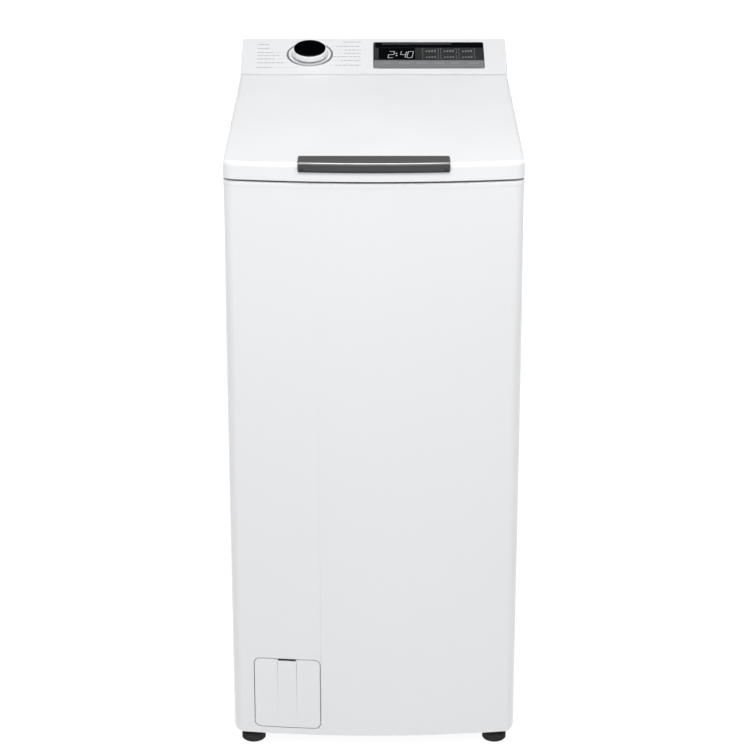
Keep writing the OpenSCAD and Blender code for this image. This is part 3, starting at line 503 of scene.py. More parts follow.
# Its faint blue tint is a painted reflection, for a blue glow along the ring's lower edge.
CHROME = brushed("silver_ring", 0.36, 0.3, (300.0, 300.0, 300.0), 0.03, 0.000002, metallic=0.5)
ZINC = zinc("zinc_sheet")
CAST = cast_metal("cast_aluminium")
LAMINATED = brushed("laminated_steel", 0.35, 0.4, (1500.0, 4.0, 4.0), 0.0, 0.0001)
BLACK_RUBBER = rubber("black_rubber")
GREY_RUBBER = rubber("grey_rubber", 0.12)
CONCRETE = concrete("cast_concrete")
GLASS = black_glass("window_glass", 0.03, 0.1)
DARK_GLASS = black_glass("window_dark", 0.002, 0.1)
CAP_GLOSS = black_glass("cap_gloss", 0.0006, 0.1, 0.2)
BOARD = board("circuit_board")
DIGITS = glow("digit_light", (0.5, 0.55, 0.58), 0.5)
ICONS = glow("icon_light", (0.14, 0.15, 0.165), 0.1)
INK = moulding("printed_grey", 0.3, 0.4, 0.004, 0.000001)
STRIP = moulding("window_strip", 0.21, 0.3, 0.006, 0.000002)


# ---------- front panel and filter flap ----------

SHEET = 0.9 * MM
FLAP_W = 93.5 * MM
FLAP_H = 108 * MM
FLAP_Z = 31 * MM
FLAP_CORNER = 8 * MM
FLAP_ROUND = 1.0 * MM
FLAP_GAP = 0.8 * MM
PANEL_CORNER = 9 * MM
FLAP_PHI = math.asin(-123 * MM / ARC_R)
NOTCH_HALF = 12.5 * MM
NOTCH_DEPTH = 2.6 * MM


def on_front(across, height, depth=0.0):
    """A point at a distance across the flap's middle line, behind the front's arc by depth."""
    x, y = plan_point(FLAP_PHI + across / ARC_R, depth)
    return x, y, height


def flap_chains(grow, notch=0.0):
    """The flap outline's lower and upper points, left to right at the same places."""
    half, r = FLAP_W / 2 + grow, FLAP_CORNER + grow
    z0, z1 = FLAP_Z - grow, FLAP_Z + FLAP_H + grow
    corner = [half - r + r * math.sin(a) for a in spread(0.0, QUARTER, 8)]
    right = spread(0.0, NOTCH_HALF - 0.8 * MM, 4) + spread(NOTCH_HALF - 0.6 * MM, NOTCH_HALF + 0.8 * MM, 5)
    right += spread(NOTCH_HALF + 2 * MM, half - r, 6)[:-1] + corner
    across = [-x for x in reversed(right[1:])] + right
    lower, upper = [], []
    for x in across:
        past = max(0.0, abs(x) - (half - r))
        cut = r - math.sqrt(max(0.0, r * r - past * past))
        step = min(1.0, max(0.0, (NOTCH_HALF + 0.7 * MM - abs(x)) / (1.4 * MM)))
        lower.append((x, z0 + cut))
        upper.append((x, z1 - cut - notch * step * step * (3 - 2 * step)))
    return lower, upper


def rim_loops(lower, upper, radius, side, depth):
    """Loops that round an edge over, then run straight back. side is 1 for a hole and -1 for a plate."""
    loop = lower + list(reversed(upper))
    loops = []
    for behind, aside in quarter_round(radius, 4):
        loops.append([on_front(x, z, behind) for x, z in offset_loop(loop, side * aside)])
    loops.append([on_front(x, z, depth) for x, z in loop])
    return loops


def lower_edge(x):
    """How far the panel's lower edge rises at its two rounded corners."""
    past = max(0.0, abs(x) - (HALF - PANEL_CORNER))
    return PANEL_CORNER - math.sqrt(max(0.0, PANEL_CORNER ** 2 - past ** 2))


def front_panel():
    shape = Shape()
    wrap = panel_hi.y
    z0, z1 = panel_lo.z, panel_hi.z
    lower, upper = flap_chains(FLAP_GAP)
    rims = rim_loops(lower, upper, SHEET, 1, 2.2 * MM)
    columns = [FLAP_PHI + x / ARC_R for x, _ in lower]
    angles = [a for a in plan_angles(80, 12) if not columns[0] <= a <= columns[-1]]
    before = [a for a in angles if a < columns[0]]
    angles = before + columns + [a for a in angles if a > columns[-1]]
    start = len(before)
    last = start + len(columns) - 1
    # each level is (inset, height), and the lower ones rise with the rounded corners
    lip, low_r, high_r, groove = 12 * MM, 3 * MM, 2.5 * MM, 0.5 * MM
    low = [(lip, 0.0), (low_r, 0.0)]
    low += [(inset, up) for up, inset in quarter_round(low_r, 6)[1:]]
    high = [(0.0, z1 - 7 * MM), (groove, z1 - 6.5 * MM), (groove, z1 - 5.9 * MM), (0.0, z1 - 5.4 * MM)]
    high += [(inset, z1 - down) for inset, down in quarter_round(high_r, 6)]
    high += [(lip, z1)]

    def row(inset, height, rises):
        points = []
        for a in [None] + angles + [None]:
            if a is None:
                x, y = math.copysign(HALF - inset, 1 if points else -1), wrap
            else:
                x, y = plan_point(a, inset)
            edge = math.copysign(HALF, x) if a is None else plan_point(a)[0]
            points.append((x, y, height + (lower_edge(edge) if rises else 0.0)))
        return points

    low_rows = [row(i, z0 + z, True) for i, z in low]
    high_rows = [row(i, z, False) for i, z in high]
    shape.loft(low_rows, closed=False)
    shape.loft(high_rows, closed=False)
    bottom, top = low_rows[-1], high_rows[0]
    first, end = start + 1, last + 1
    count = end - first + 1
    below, above = rims[0][:count], list(reversed(rims[0][count:]))
    for i in range(len(bottom) - 1):
        if i < first - 1 or i > end:
            shape.face(bottom[i], bottom[i + 1], top[i + 1], top[i])
        elif i == first - 1:
            shape.face(bottom[i], bottom[first], below[0], above[0], top[first], top[i])
        elif i == end:
            shape.face(bottom[end], bottom[i + 1], top[i + 1], top[end], above[-1], below[-1])
        else:
            k = i - first
            shape.face(bottom[i], bottom[i + 1], below[k + 1], below[k])
            shape.face(above[k], above[k + 1], top[i + 1], top[i])
    shape.loft(rims)
    thicken(build("front_skin", shape, "cabinet", WHITE, ["front_panel"]), SHEET)


def filter_flap():
    shape = Shape()
    lower, upper = flap_chains(0.0, NOTCH_DEPTH)
    rims = rim_loops(lower, upper, FLAP_ROUND, -1, 2.4 * MM)
    count = len(lower)
    for rim, flip in ((rims[0], False), (rims[-1], True)):
        below, above = rim[:count], list(reversed(rim[count:]))
        for k in range(count - 1):
            corners = [below[k], below[k + 1], above[k + 1], above[k]]
            shape.face(*(reversed(corners) if flip else corners))
    shape.loft(rims)
    pieces = [shape]
    half, rod_r, pin_r, chamfer = FLAP_W / 2, 2.5 * MM, 1.5 * MM, 0.3 * MM
    for x0, x1, r in ((-half + 8 * MM, half - 8 * MM, rod_r), (half - 9 * MM, half + 4 * MM, pin_r),
                      (-half - 4 * MM, -half + 9 * MM, pin_r)):
        profile = [(0.0, x0), (r - chamfer, x0), (r, x0 + chamfer), (r, x1 - chamfer), (r - chamfer, x1),
                   (0.0, x1)]
        pieces.append(lathe(profile, on_flap_axis, 24))
    join("flap_skin", pieces, "filter_cover", WHITE_GLOSS, ["filter_cover"])


flap_joint = JOINTS["filter_cover_hinge"]
flap_pivot = Vector(flap_joint["pos_m"])
flap_along = Vector(flap_joint["axis"])


def on_flap_axis(a, b, x):
    """A point round the flap's hinge, x along it from its middle."""
    out = flap_along.cross(Vector((0.0, 0.0, 1.0)))
    return tuple(flap_pivot + flap_along * x + out * a + Vector((0.0, 0.0, b)))


# ---------- lid ----------

LID_ROUND = 7 * MM
LID_WALL = 2.5 * MM
LID_SLOT_X = 150 * MM
hinge = Vector(JOINTS["lid_hinge"]["pos_m"])
BARREL = lid_hi.y - hinge.y


def lid_level(height, inset, rear):
    """One horizontal outline of the lid, its front and sides moved in by inset."""
    corner = 2 * MM
    points = []
    edge = HALF - inset
    for x, y in round_corner((edge - corner, rear - corner), corner, QUARTER, 0.0, 3):
        points.append((-x, y, height))
    for a in plan_angles(64, 12):
        points.append((*plan_point(a, inset), height))
    for x, y in round_corner((edge - corner, rear - corner), corner, 0.0, QUARTER, 3):
        points.append((x, y, height))
    return points


def lid_levels(inset, wall):
    """Levels from the lid's lower edge to its top, moved inwards by wall."""
    levels = []
    top = lid_hi.z - wall
    reach = BARREL - wall
    for a in spread(-QUARTER, QUARTER, 28):
        height = hinge.z + reach * math.sin(a)
        past = max(0.0, height - (top - LID_ROUND))
        curve = LID_ROUND - math.sqrt(max(0.0, LID_ROUND ** 2 - past ** 2))
        foot = max(0.0, lid_lo.z + 0.8 * MM - height)
        levels.append(lid_level(height, inset + curve + foot * 0.6, hinge.y + reach * math.cos(a)))
    return levels


def lid_shell():
    outer = lid_levels(0.0, 0.0)
    inner = lid_levels(LID_WALL, LID_WALL)
    inner.insert(0, lid_level(lid_lo.z, LID_WALL, hinge.y - MM))
    shape = Shape().tube(list(reversed(outer)) + inner)
    obj = build("lid_skin", shape, "lid", WHITE_GLOSS, ["lid_outer"])
    slots = []
    for side in (-1, 1):
        x, half = side * LID_SLOT_X, 5 * MM
        y0, y1, z0, z1 = hinge.y - 7 * MM, hinge.y + BARREL + MM, lid_lo.z - MM, hinge.z + 5.5 * MM
        corners = [(y0, z0), (y1, z0), (y1, z1), (y0, z1)]
        slots.append(Shape().tube([[(end, y, z) for y, z in corners] for end in (x - half, x + half)]))
    carve(obj, slots)


handle_lo, handle_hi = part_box("lid_handle")


def lid_handle():
    """A bent metal band over a black grip, with a painted highlight (a brighter strip along its bend) and
    painted shade (a darker copy of its metal on the front face below the bend).
    """
    proud, bend, drop = 4 * MM, 3.6 * MM, 2.6 * MM
    back, ends = handle_hi.y, 4 * MM
    half, top, bottom = handle_hi.x, handle_hi.z, handle_lo.z
    roof = lid_hi.z

    def front_y(x, moved):
        return ARC_Y - moved - math.sqrt(ARC_R ** 2 - x * x)

    def stations(inset):
        inner = [(x, 0.0) for x in spread(0.0, half - ends, 14)[1:]]
        curve = [(half - ends + ends * math.sin(a), 0.0) for a in spread(0.0, QUARTER, 6)[1:-1]]
        right = [(0.0, 0.0)] + inner + curve + [(half - 0.35 * MM, 0.0), (half, inset)]
        return [(-x, i) for x, i in reversed(right[1:])] + right

    def section(x, front_drop, thick, shrink):
        past = max(0.0, abs(x) - (half - ends))
        rear = back - (ends - math.sqrt(max(0.0, ends * ends - past * past)))
        f = front_y(x, proud) + shrink
        t = top - shrink
        points = [(rear, roof - 0.2 * MM), (rear, t - 0.9 * MM)]
        points += round_corner((rear - 0.9 * MM, t - 0.9 * MM), 0.9 * MM, 0.0, QUARTER, 3)[1:]
        points += round_corner((f + bend, t - bend), bend, QUARTER, 2 * QUARTER, 10)
        foot = front_drop - 0.4 * MM
        points += [(f, front_drop), (f + 0.5 * MM, foot), (f + thick, foot), (f + thick, roof - 0.2 * MM)]
        return [(x, y, z) for y, z in points]

    band = Shape().tube([section(x, bottom + drop, 3.4 * MM, inset) for x, inset in stations(0.8 * MM)])
    obj = build("handle_band", band, "lid", GUNMETAL, ["lid_handle"])
    # Painted shade: faces on the front below the bend get the darker copy of the metal.
    obj.data.materials.append(GUNMETAL_PAINTED_SHADE)
    for face in obj.data.polygons:
        if face.center.z < top - bend * 0.85 and face.center.y < front_y(face.center.x, 0.0):
            face.material_index = 1

    # Painted highlight: a thin brighter strip over the handle's bend, narrower towards its ends, in place
    # of the light that the bend reflects.
    loops = []
    for x in spread(-half + 1.2 * MM, half - 1.2 * MM, 40):
        f = front_y(x, proud)
        fade = min(1.0, (half - abs(x)) / (30 * MM))
        r, wide = bend + 0.09 * MM, math.radians(9) * (0.45 + 0.55 * fade)
        mid = QUARTER + math.radians(38)
        arc = round_corner((f + bend, top - bend), r, mid - wide, mid + wide, 5)
        back_arc = round_corner((f + bend, top - bend), r - 0.4 * MM, mid + wide, mid - wide, 2)
        loops.append([(x, y, z) for y, z in arc + back_arc])
    build("handle_painted_highlight", Shape().tube(loops), "lid", GUNMETAL_PAINTED_HIGHLIGHT)

    loops = []
    for x in spread(-half + 0.6 * MM, half - 0.6 * MM, 40):
        f = front_y(x, proud) + 0.35 * MM
        b = front_y(x, 0.0) - 0.05 * MM
        profile = [(f, bottom + drop - 0.3 * MM), (f, bottom + 0.5 * MM), (f + 0.5 * MM, bottom),
                   (b, bottom), (b, bottom + drop - 0.3 * MM)]
        loops.append([(x, y, z) for y, z in profile])
    build("handle_grip", Shape().tube(loops), "lid", BLACK_PLASTIC)

    for side in (-1, 1):
        x, f = side * (half - 5.5 * MM), front_y(half - 5.5 * MM, proud)
        outline = rounded_rect(-2.6 * MM, 2.6 * MM, bottom + 2.2 * MM, bottom + 5.6 * MM, 0.7 * MM, 3)
        stud = prism(outline, lambda u, v, h: (x + u, f + 0.5 * MM - h, v), 0.0, 0.8 * MM, 0.25 * MM)
        build(f"handle_stud_{'left' if side < 0 else 'right'}", stud, "lid", BLACK_PLASTIC)


# ---------- console ----------

knob_joint = JOINTS["program_knob_turn"]
knob_at = Vector(knob_joint["pos_m"])
UP = Vector(knob_joint["axis"])
ALONG = Vector((0.0, UP.z, -UP.y))
console_front = Vector((0.0, console_lo.y, lid_hi.z))
KNOB_S = (knob_at - console_front).dot(ALONG)
KNOB_X = knob_at.x
window_lo, window_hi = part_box("display_window")
WINDOW = (window_lo.x, window_hi.x, 14.5 * MM, 92.5 * MM)
CONSOLE_WALL = 2.8 * MM


def on_console(x, s, h):
    """A point on the console's slope: x across, s up the slope from its front edge, h out of it."""
    return tuple(Vector((x, 0.0, 0.0)) + console_front + ALONG * s + UP * h)


def on_knob(x, y, h):
    return on_console(KNOB_X + x, KNOB_S + y, h)


def console_shell():
    slope = math.atan2(ALONG.z, ALONG.y)
    y0, y1, z0 = console_lo.y, console_hi.y, console_lo.z
    rear_z = lid_hi.z + (y1 - y0) * math.tan(slope)
    r0, r1 = 1.2 * MM, 4 * MM

    def profile(inset):
        a, b = r0 - min(inset, r0 * 0.5), r1 - min(inset, r1 * 0.5)
        front_tan = math.tan((QUARTER - slope) / 2)
        rear_tan = math.tan((QUARTER + slope) / 2)
        c0 = (y0 + inset + a, lid_hi.z - inset / math.cos(slope) - a * front_tan + inset * math.tan(slope))
        c1 = (y1 - inset - b, rear_z - inset / math.cos(slope) - b * rear_tan - inset * math.tan(slope))
        points = [(y0 + inset, z0)]
        points += round_corner(c0, a, 2 * QUARTER, QUARTER + slope, 6)
        points += round_corner(c1, b, QUARTER + slope, 0.0, 7)
        points += [(y1 - inset, z0)]
        return points

    shape = Shape()
    ends = 2.5 * MM
    side = [(HALF - ends + ends * math.sin(a), ends * (1 - math.cos(a))) for a in spread(0.0, QUARTER, 5)]
    right = [(100 * MM, 0.0)] + side
    stations = [(-x, i) for x, i in reversed(right)] + [(0.0, 0.0)] + right
    loops = [[(x, y, z) for y, z in profile(i)] for x, i in stations]
    shape.loft(loops, closed=False)
    shape.face(*loops[0])
    shape.face(*reversed(loops[-1]))
    # Painted shade: the console gets the darker copy of the white plastic.
    obj = build("console_skin", shape, "cabinet", WHITE_GLOSS_PAINTED_SHADE, ["console_panel"])
    thicken(obj, CONSOLE_WALL)
    recess = prism(rounded_rect(*window_gap(0.3 * MM), 7.3 * MM), on_console, -1.7 * MM, 2 * MM)
    ring = prism(circle(35.3 * MM, 96), on_knob, -1.3 * MM, 2 * MM)
    carve(obj, [recess, ring])


def window_gap(grow):
    x0, x1, s0, s1 = WINDOW
    return x0 - grow, x1 + grow, s0 - grow, s1 + grow


def plate(name, x0, x1, s0, s1, h0, h1, mat, r=0.2 * MM, edge=0.0):
    """A thin slab on the console's slope."""
    outline = rounded_rect(x0, x1, s0, s1, min(r, (x1 - x0) / 2.01, (s1 - s0) / 2.01), 3)
    shape = prism(outline, on_console, h0, h1, edge)
    return build(name, shape, "cabinet", mat)


def bar(x0, x1, s0, s1, h0, h1, r=0.25 * MM):
    outline = rounded_rect(x0, x1, s0, s1, min(r, (x1 - x0) / 2.01, (s1 - s0) / 2.01), 2)
    return prism(outline, on_console, h0, h1)


def lean(point, s):
    """Slants a point of a digit, by how far up the slope it is from s."""
    up = (Vector(point) - console_front).dot(ALONG) - s
    return point[0] + 0.14 * up, point[1], point[2]


SEGMENTS = {"0": "abcdef", "2": "abged", "4": "fgbc"}


def digit(mark, x, s, width, height, h):
    """One seven segment digit as bars on the slope."""
    w, gap = 0.7 * MM, 0.25 * MM
    mid, top = s + height / 2, s + height
    right = x + width
    place = {"a": (x + gap, right - gap, top - w, top), "d": (x + gap, right - gap, s, s + w),
             "g": (x + gap, right - gap, mid - w / 2, mid + w / 2),
             "f": (x, x + w, mid + gap, top - gap), "b": (right - w, right, mid + gap, top - gap),
             "e": (x, x + w, s + gap, mid - gap), "c": (right - w, right, s + gap, mid - gap)}
    bars = [bar(*place[part], h, h + 0.08 * MM) for part in SEGMENTS[mark]]
    for shape in bars:
        shape.points = [lean(point, s) for point in shape.points]
    return bars


def display():
    x0, x1, s0, s1 = WINDOW
    top = 0.2 * MM
    shape = prism(rounded_rect(x0, x1, s0, s1, 2.5 * MM), on_console, -1.6 * MM, top, 0.25 * MM)
    build("window_glass", shape, "cabinet", GLASS, ["display_window"])
    plate("window_strip", x0 + 0.6 * MM, x1 - 0.6 * MM, s0 + 0.6 * MM, 38 * MM, top, top + 0.06 * MM, STRIP,
          2 * MM)
    darker = [bar(x0 + 8 * MM, 62 * MM, 41 * MM, 75 * MM, top, top + 0.01 * MM, MM),
              bar(x0 + 3 * MM, x1 - 0.8 * MM, 75.5 * MM, 90.5 * MM, top, top + 0.01 * MM, MM)]
    join("window_masks", darker, "cabinet", DARK_GLASS)
    h = top + 0.02 * MM
    lit = h + 0.06 * MM
    marks = []
    for mark, x in (("2", 20.5), ("4", 38.5), ("0", 49.0)):
        marks += digit(mark, x * MM, 45.5 * MM, 8.5 * MM, 19 * MM, h)
    marks += [bar(33 * MM, 35 * MM, s * MM, (s + 2.2) * MM, h, h + 0.08 * MM) for s in (51.0, 57.5)]
    join("display_digits", marks, "cabinet", DIGITS)
    icons = []
    for s_low, s_high in ((57.5, 74.0), (41.5, 54.0)):
        for k in range(3):
            left = (73.0 + 27.5 * k) * MM
            right = left + 24.5 * MM
            a, b, w = s_low * MM, s_high * MM, 0.55 * MM
            for edge, turn in ((left, 1), (right, -1)):
                icons.append(bar(*sorted((edge, edge + turn * w)), a, b, h, lit))
                for s in (a, b - w):
                    icons.append(bar(*sorted((edge, edge + turn * 3 * MM)), s, s + w, h, lit))
            middle, tall = (a + b) / 2, (b - a) * 0.2
            for n in range(4):
                x = left + (5.2 + 4.2 * n) * MM
                icons.append(bar(x, x + 2.6 * MM, middle - tall, middle + tall * (0.4 + 0.2 * n), h, lit))
    join("display_icons", icons, "cabinet", ICONS)
    rule = [bar(12 * MM, 118 * MM, 86.6 * MM, 87.2 * MM, h, h + 0.05 * MM)]
    for k in range(6):
        x = (12 + 26 * k) * MM
        rule.append(bar(x, x + (13 + 3 * (k % 2)) * MM, 29 * MM, 31.2 * MM,
                        top + 0.07 * MM, top + 0.12 * MM))
    join("display_legends", rule, "cabinet", INK)


def legends():
    """Short printed dashes either side of the knob, one for each programme."""
    left = ((86.0, 17), (73.5, 18), (61.0, 24), (52.0, 33), (42.6, 29), (31.0, 42), (17.4, 24))
    right = ((93.0, 27), (80.0, 37), (69.0, 24), (59.0, 25), (49.0, 40), (38.0, 30), (24.0, 38))
    marks = []
    for s, width in left:
        marks += dashes(-176, -176 + width, s)
    for s, width in right:
        marks += dashes(-20 - width, -20, s)
    join("programme_dashes", marks, "cabinet", INK)
    leads = []
    for k, (s, width) in enumerate(left):
        if k > 1:
            leads.append(lead(-174 + width, -136 + 0.6 * abs(56 - s), s))
    for s, width in right[1:]:
        leads.append(lead(-58 - 0.3 * abs(56 - s), -23 - width, s))
    join("programme_leads", leads, "cabinet", INK)


def lead(x0, x1, s):
    """A thin printed line from a programme's dashes towards the knob."""
    return bar(x0 * MM, x1 * MM, s * MM, (s + 0.35) * MM, 0.0, 0.05 * MM)


def dashes(x0, x1, s):
    """A row of short strokes that fills x0 to x1."""
    strokes, x, k = [], x0, 0
    while x < x1 - 1.5:
        width = min(3.2 + 1.7 * ((k * 7) % 3), x1 - x)
        strokes.append(bar(x * MM, (x + width) * MM, (s - 0.75) * MM, (s + 0.75) * MM, 0.0, 0.05 * MM))
        x += width + 1.1
        k += 1
    return strokes


def knob():
    ring = [(32.0, -0.4), (32.0, 0.8), (32.4, 1.2), (32.9, 1.4), (34.2, 1.4), (34.7, 1.1), (35.0, 0.6),
            (35.0, -0.4), (32.0, -0.4)]
    build("knob_bezel", lathe([(r * MM, h * MM) for r, h in ring], on_knob, 128), "cabinet", CHROME,
          ["knob_ring"])
    rise = knob_height()
    skirt = 1.6 * MM
    body = [(0.0, skirt), (26.2 * MM, skirt), (27.0 * MM, skirt + 0.6 * MM), (27.0 * MM, skirt + 2.4 * MM),
            (26.7 * MM, skirt + 3.2 * MM), (25.6 * MM, rise - 3.2 * MM), (25.3 * MM, rise - 2.4 * MM),
            (24.9 * MM, rise - 1.9 * MM), (24.2 * MM, rise - 1.7 * MM), (0.0, rise - 1.7 * MM)]
    build("knob_grip", lathe(body, on_knob, 128), "program_knob", WHITE_GLOSS,
          ["knob_body"])
    cap = [(0.0, rise - 1.7 * MM), (23.9 * MM, rise - 1.7 * MM), (24.0 * MM, rise - 0.9 * MM)]
    cap += [(24 * MM - inset, rise - down) for inset, down in quarter_round(0.9 * MM, 5)[1:]]
    cap += [(15 * MM, rise - 0.02 * MM), (0.0, rise)]
    build("knob_disc", lathe(cap, on_knob, 128), "program_knob", CAP_GLOSS, ["knob_cap"])
    well = [(27.4, -1.1), (35.0, -1.1), (35.0, -0.45), (31.9, -0.45), (31.9, 0.7), (31.4, 0.8), (30.4, 0.3),
            (28.5, -0.5), (27.4, -0.6), (27.4, -1.1)]
    # Painted shade: the knob's well gets the darker copy of the white plastic.
    build("knob_well", lathe([(r * MM, h * MM) for r, h in well], on_knob, 96), "cabinet", WHITE_GLOSS_PAINTED_SHADE)


def knob_height():
    """The knob's height above the slope, so that its highest point is the CAD cap's."""
    cap_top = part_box("knob_cap")[1].z
    top_edge = knob_at + ALONG * 24 * MM
    return (cap_top - top_edge.z) / UP.z


# ---------- pieces between the cabinet and the tub ----------

bellows_lo, bellows_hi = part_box("tub_bellows")
springs_lo, springs_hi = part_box("suspension_springs")
hose_lo, hose_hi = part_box("tub_drain_hose")
NECK_Z, SKIRT_Z = bellows_lo.z + 10 * MM, bellows_hi.z - 10 * MM


def tub_bellows():
    """A folded rubber sleeve, clamped over the tub's neck and the top frame's skirt."""
    wide = 14 * MM
    mouth = rounded_rect(bellows_lo.x + wide, bellows_hi.x - wide, bellows_lo.y + wide, bellows_hi.y - wide,
                         18 * MM, 8)
    fold = SKIRT_Z - NECK_Z
    profile = [(6.9, NECK_Z - 10 * MM), (6.9, NECK_Z - 7.6 * MM), (8.1, NECK_Z - 7 * MM),
               (8.1, NECK_Z - 3.5 * MM), (6.9, NECK_Z - 2.9 * MM)]
    for k in range(1, 36):
        t = k / 36
        profile.append((9.9 - 3.6 * math.cos(6 * math.pi * t) + 0.6 * math.cos(12 * math.pi * t),
                        NECK_Z + fold * (t - 0.035 * math.sin(6 * math.pi * t))))
    profile += [(6.9, SKIRT_Z + 2.9 * MM), (8.1, SKIRT_Z + 3.5 * MM), (8.1, SKIRT_Z + 7 * MM),
                (6.9, SKIRT_Z + 7.6 * MM), (6.9, SKIRT_Z + 10 * MM)]
    shape = Shape()
    shape.loft([[(x, y, z) for x, y in offset_loop(mouth, out * MM)] for out, z in profile])
    obj = build("bellows_sleeve", shape, None, GREY_RUBBER, ["tub_bellows"])
    thicken(obj, 1.6 * MM, 50)
    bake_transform(obj)


def wire(points, radius, sides=8):
    """A round wire along a line of points."""
    loops = []
    for i, p in enumerate(points):
        along = (points[min(i + 1, len(points) - 1)] - points[max(i - 1, 0)]).normalized()
        across = along.cross(Vector((0.0, 0.0, 1.0))).normalized()
        over = across.cross(along)
        loops.append([tuple(p + (across * math.cos(a) + over * math.sin(a)) * radius)
                      for a in spread(0.0, 4 * QUARTER, sides)[:-1]])
    return Shape().tube(loops)


def spring_end(reach):
    """The profile of a spring's cap, rod and anchor, in mm from the coil's end up to reach."""
    return [(0.0, -3.0), (9.6, -3.0), (12.0, -2.0), (12.0, 2.4), (11.0, 3.8), (3.4, 4.0), (3.0, 6.0),
            (3.0, reach - 4.3), (7.0, reach - 4.0), (7.0, reach - 1.4), (5.4, reach), (0.0, reach)]


def suspension_springs():
    coil_r, wire_r, turns, steps = 9 * MM, 1.8 * MM, 10, 20
    low, high = springs_lo.z + 72 * MM, springs_hi.z - 58 * MM
    cup = coil_r + 3 * MM
    middle_y = (springs_lo.y + springs_hi.y) / 2
    top = spring_end((springs_hi.z - high) / MM)
    foot = [(r, -h) for r, h in reversed(spring_end((low - springs_lo.z) / MM))]
    pieces = []
    for x in (springs_lo.x + cup, springs_hi.x - cup):
        for y in (springs_lo.y + cup, springs_hi.y - cup):
            turn = math.copysign(1, y - middle_y)
            line = []
            for k in range(turns * steps + 1):
                a = turn * 4 * QUARTER * k / steps
                height = low + (high - low) * k / (turns * steps)
                line.append(Vector((x + coil_r * math.cos(a), y + coil_r * math.sin(a), height)))
            pieces.append(wire(line, wire_r))
            for ends, level in ((top, high), (foot, low)):
                pieces.append(lathe([(r * MM, level + h * MM) for r, h in ends], upright_at(x, y), 28))
    obj = join("suspension_coils", pieces, None, STEEL, ["suspension_springs"])
    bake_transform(obj)


def drain_hose():
    """A short ribbed sleeve from the tub's sump down to the filter housing."""
    x, y = (hose_lo.x + hose_hi.x) / 2, (hose_lo.y + hose_hi.y) / 2
    outer = (hose_hi.x - hose_lo.x) / 2
    low, high = hose_lo.z, hose_hi.z
    bore = outer - 5.9 * MM
    profile = [(bore, low), (outer - 3.6 * MM, low), (outer - 3 * MM, low + 0.6 * MM)]
    for k in range(1, 44):
        t = k / 44
        rib = 0.5 - 0.5 * math.cos(10 * math.pi * min(1.0, max(0.0, (t - 0.2) / 0.6)))
        profile.append((outer - 3 * MM + 3 * MM * rib, low + 0.6 * MM + (high - low - 1.2 * MM) * t))
    profile += [(outer - 3 * MM, high - 0.6 * MM), (outer - 3.6 * MM, high), (bore, high), (bore, low)]
    shape = lathe(profile, upright_at(x, y), 40)
    obj = build("drain_sleeve", shape, None, BLACK_RUBBER, ["tub_drain_hose"])
    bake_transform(obj)


# ---------- filter pocket and front feet ----------

def flap_pocket():
    """A shallow tray behind the flap, with the filter's housing through it."""
    filter_at = Vector(JOINTS["pump_filter_turn"]["pos_m"])
    filter_lo, filter_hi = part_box("pump_filter")
    middle_z = (filter_lo.z + filter_hi.z) / 2
    left, right, low, high, corner = -163 * MM, -58 * MM, 26 * MM, 152 * MM, 6 * MM
    front, back, wall, hole_r = -268 * MM, -256.4 * MM, 1.6 * MM, 32.2 * MM

    def upright(across, up, depth):
        return across, depth, up

    def block(grow, y0, y1):
        outline = rounded_rect(left - grow, right + grow, low - grow, high + grow, corner + grow, 5)
        return prism(outline, upright, y0, y1)

    obj = build("flap_pocket", block(0.0, front, back), "cabinet", WHITE_PLASTIC)
    hole = prism(circle(hole_r, 64, filter_at.x, middle_z), upright, front - 2 * MM, back + 2 * MM)
    carve(obj, [block(-wall, front - MM, back - wall), hole])


def front_foot(name):
    """An adjustable foot: ribbed rubber pad, hexagon for the spanner and threaded stem."""
    lo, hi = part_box(name)
    place, pad_r = upright_at((lo.x + hi.x) / 2, (lo.y + hi.y) / 2), (hi.x - lo.x) / 2
    pad = [(0.0, 0.0), (pad_r - 2.4 * MM, 0.0), (pad_r - 1.2 * MM, 0.8 * MM)]
    for k in range(3):
        z = (1.6 + 3.2 * k) * MM
        pad += [(pad_r - 0.8 * MM, z), (pad_r, z + 0.6 * MM), (pad_r, z + 2.0 * MM),
                (pad_r - 0.8 * MM, z + 2.6 * MM)]
    pad += [(pad_r - 3 * MM, 12.6 * MM), (0.0, 13.2 * MM)]
    nut = prism(circle(8 * MM, 6), place, 12.9 * MM, 17 * MM, 0.5 * MM)
    root_r, crest_r, thread_pitch = 4.2 * MM, 4.95 * MM, 1.25 * MM
    stem, z = [(0.0, 16.8 * MM)], 17.2 * MM
    while z < hi.z - 2 * MM:
        stem += [(root_r, z), (crest_r, z + 0.6 * MM), (root_r, z + 1.2 * MM)]
        z += thread_pitch
    stem += [(4.0 * MM, hi.z - 0.5 * MM), (3.4 * MM, hi.z), (0.0, hi.z)]
    build(name + "_pad", lathe(pad, place, 56), name, BLACK_RUBBER, [name])
    build(name + "_stem", lathe(stem, place, 24), name, STEEL)
    build(name + "_nut", nut, name, STEEL)


front_panel()
filter_flap()
lid_shell()
lid_handle()
console_shell()
display()
legends()
knob()
tub_bellows()
suspension_springs()
drain_hose()
flap_pocket()
for foot_name in ("front_foot_left", "front_foot_right"):
    front_foot(foot_name)


# ---------- the CAD pieces that stay ----------

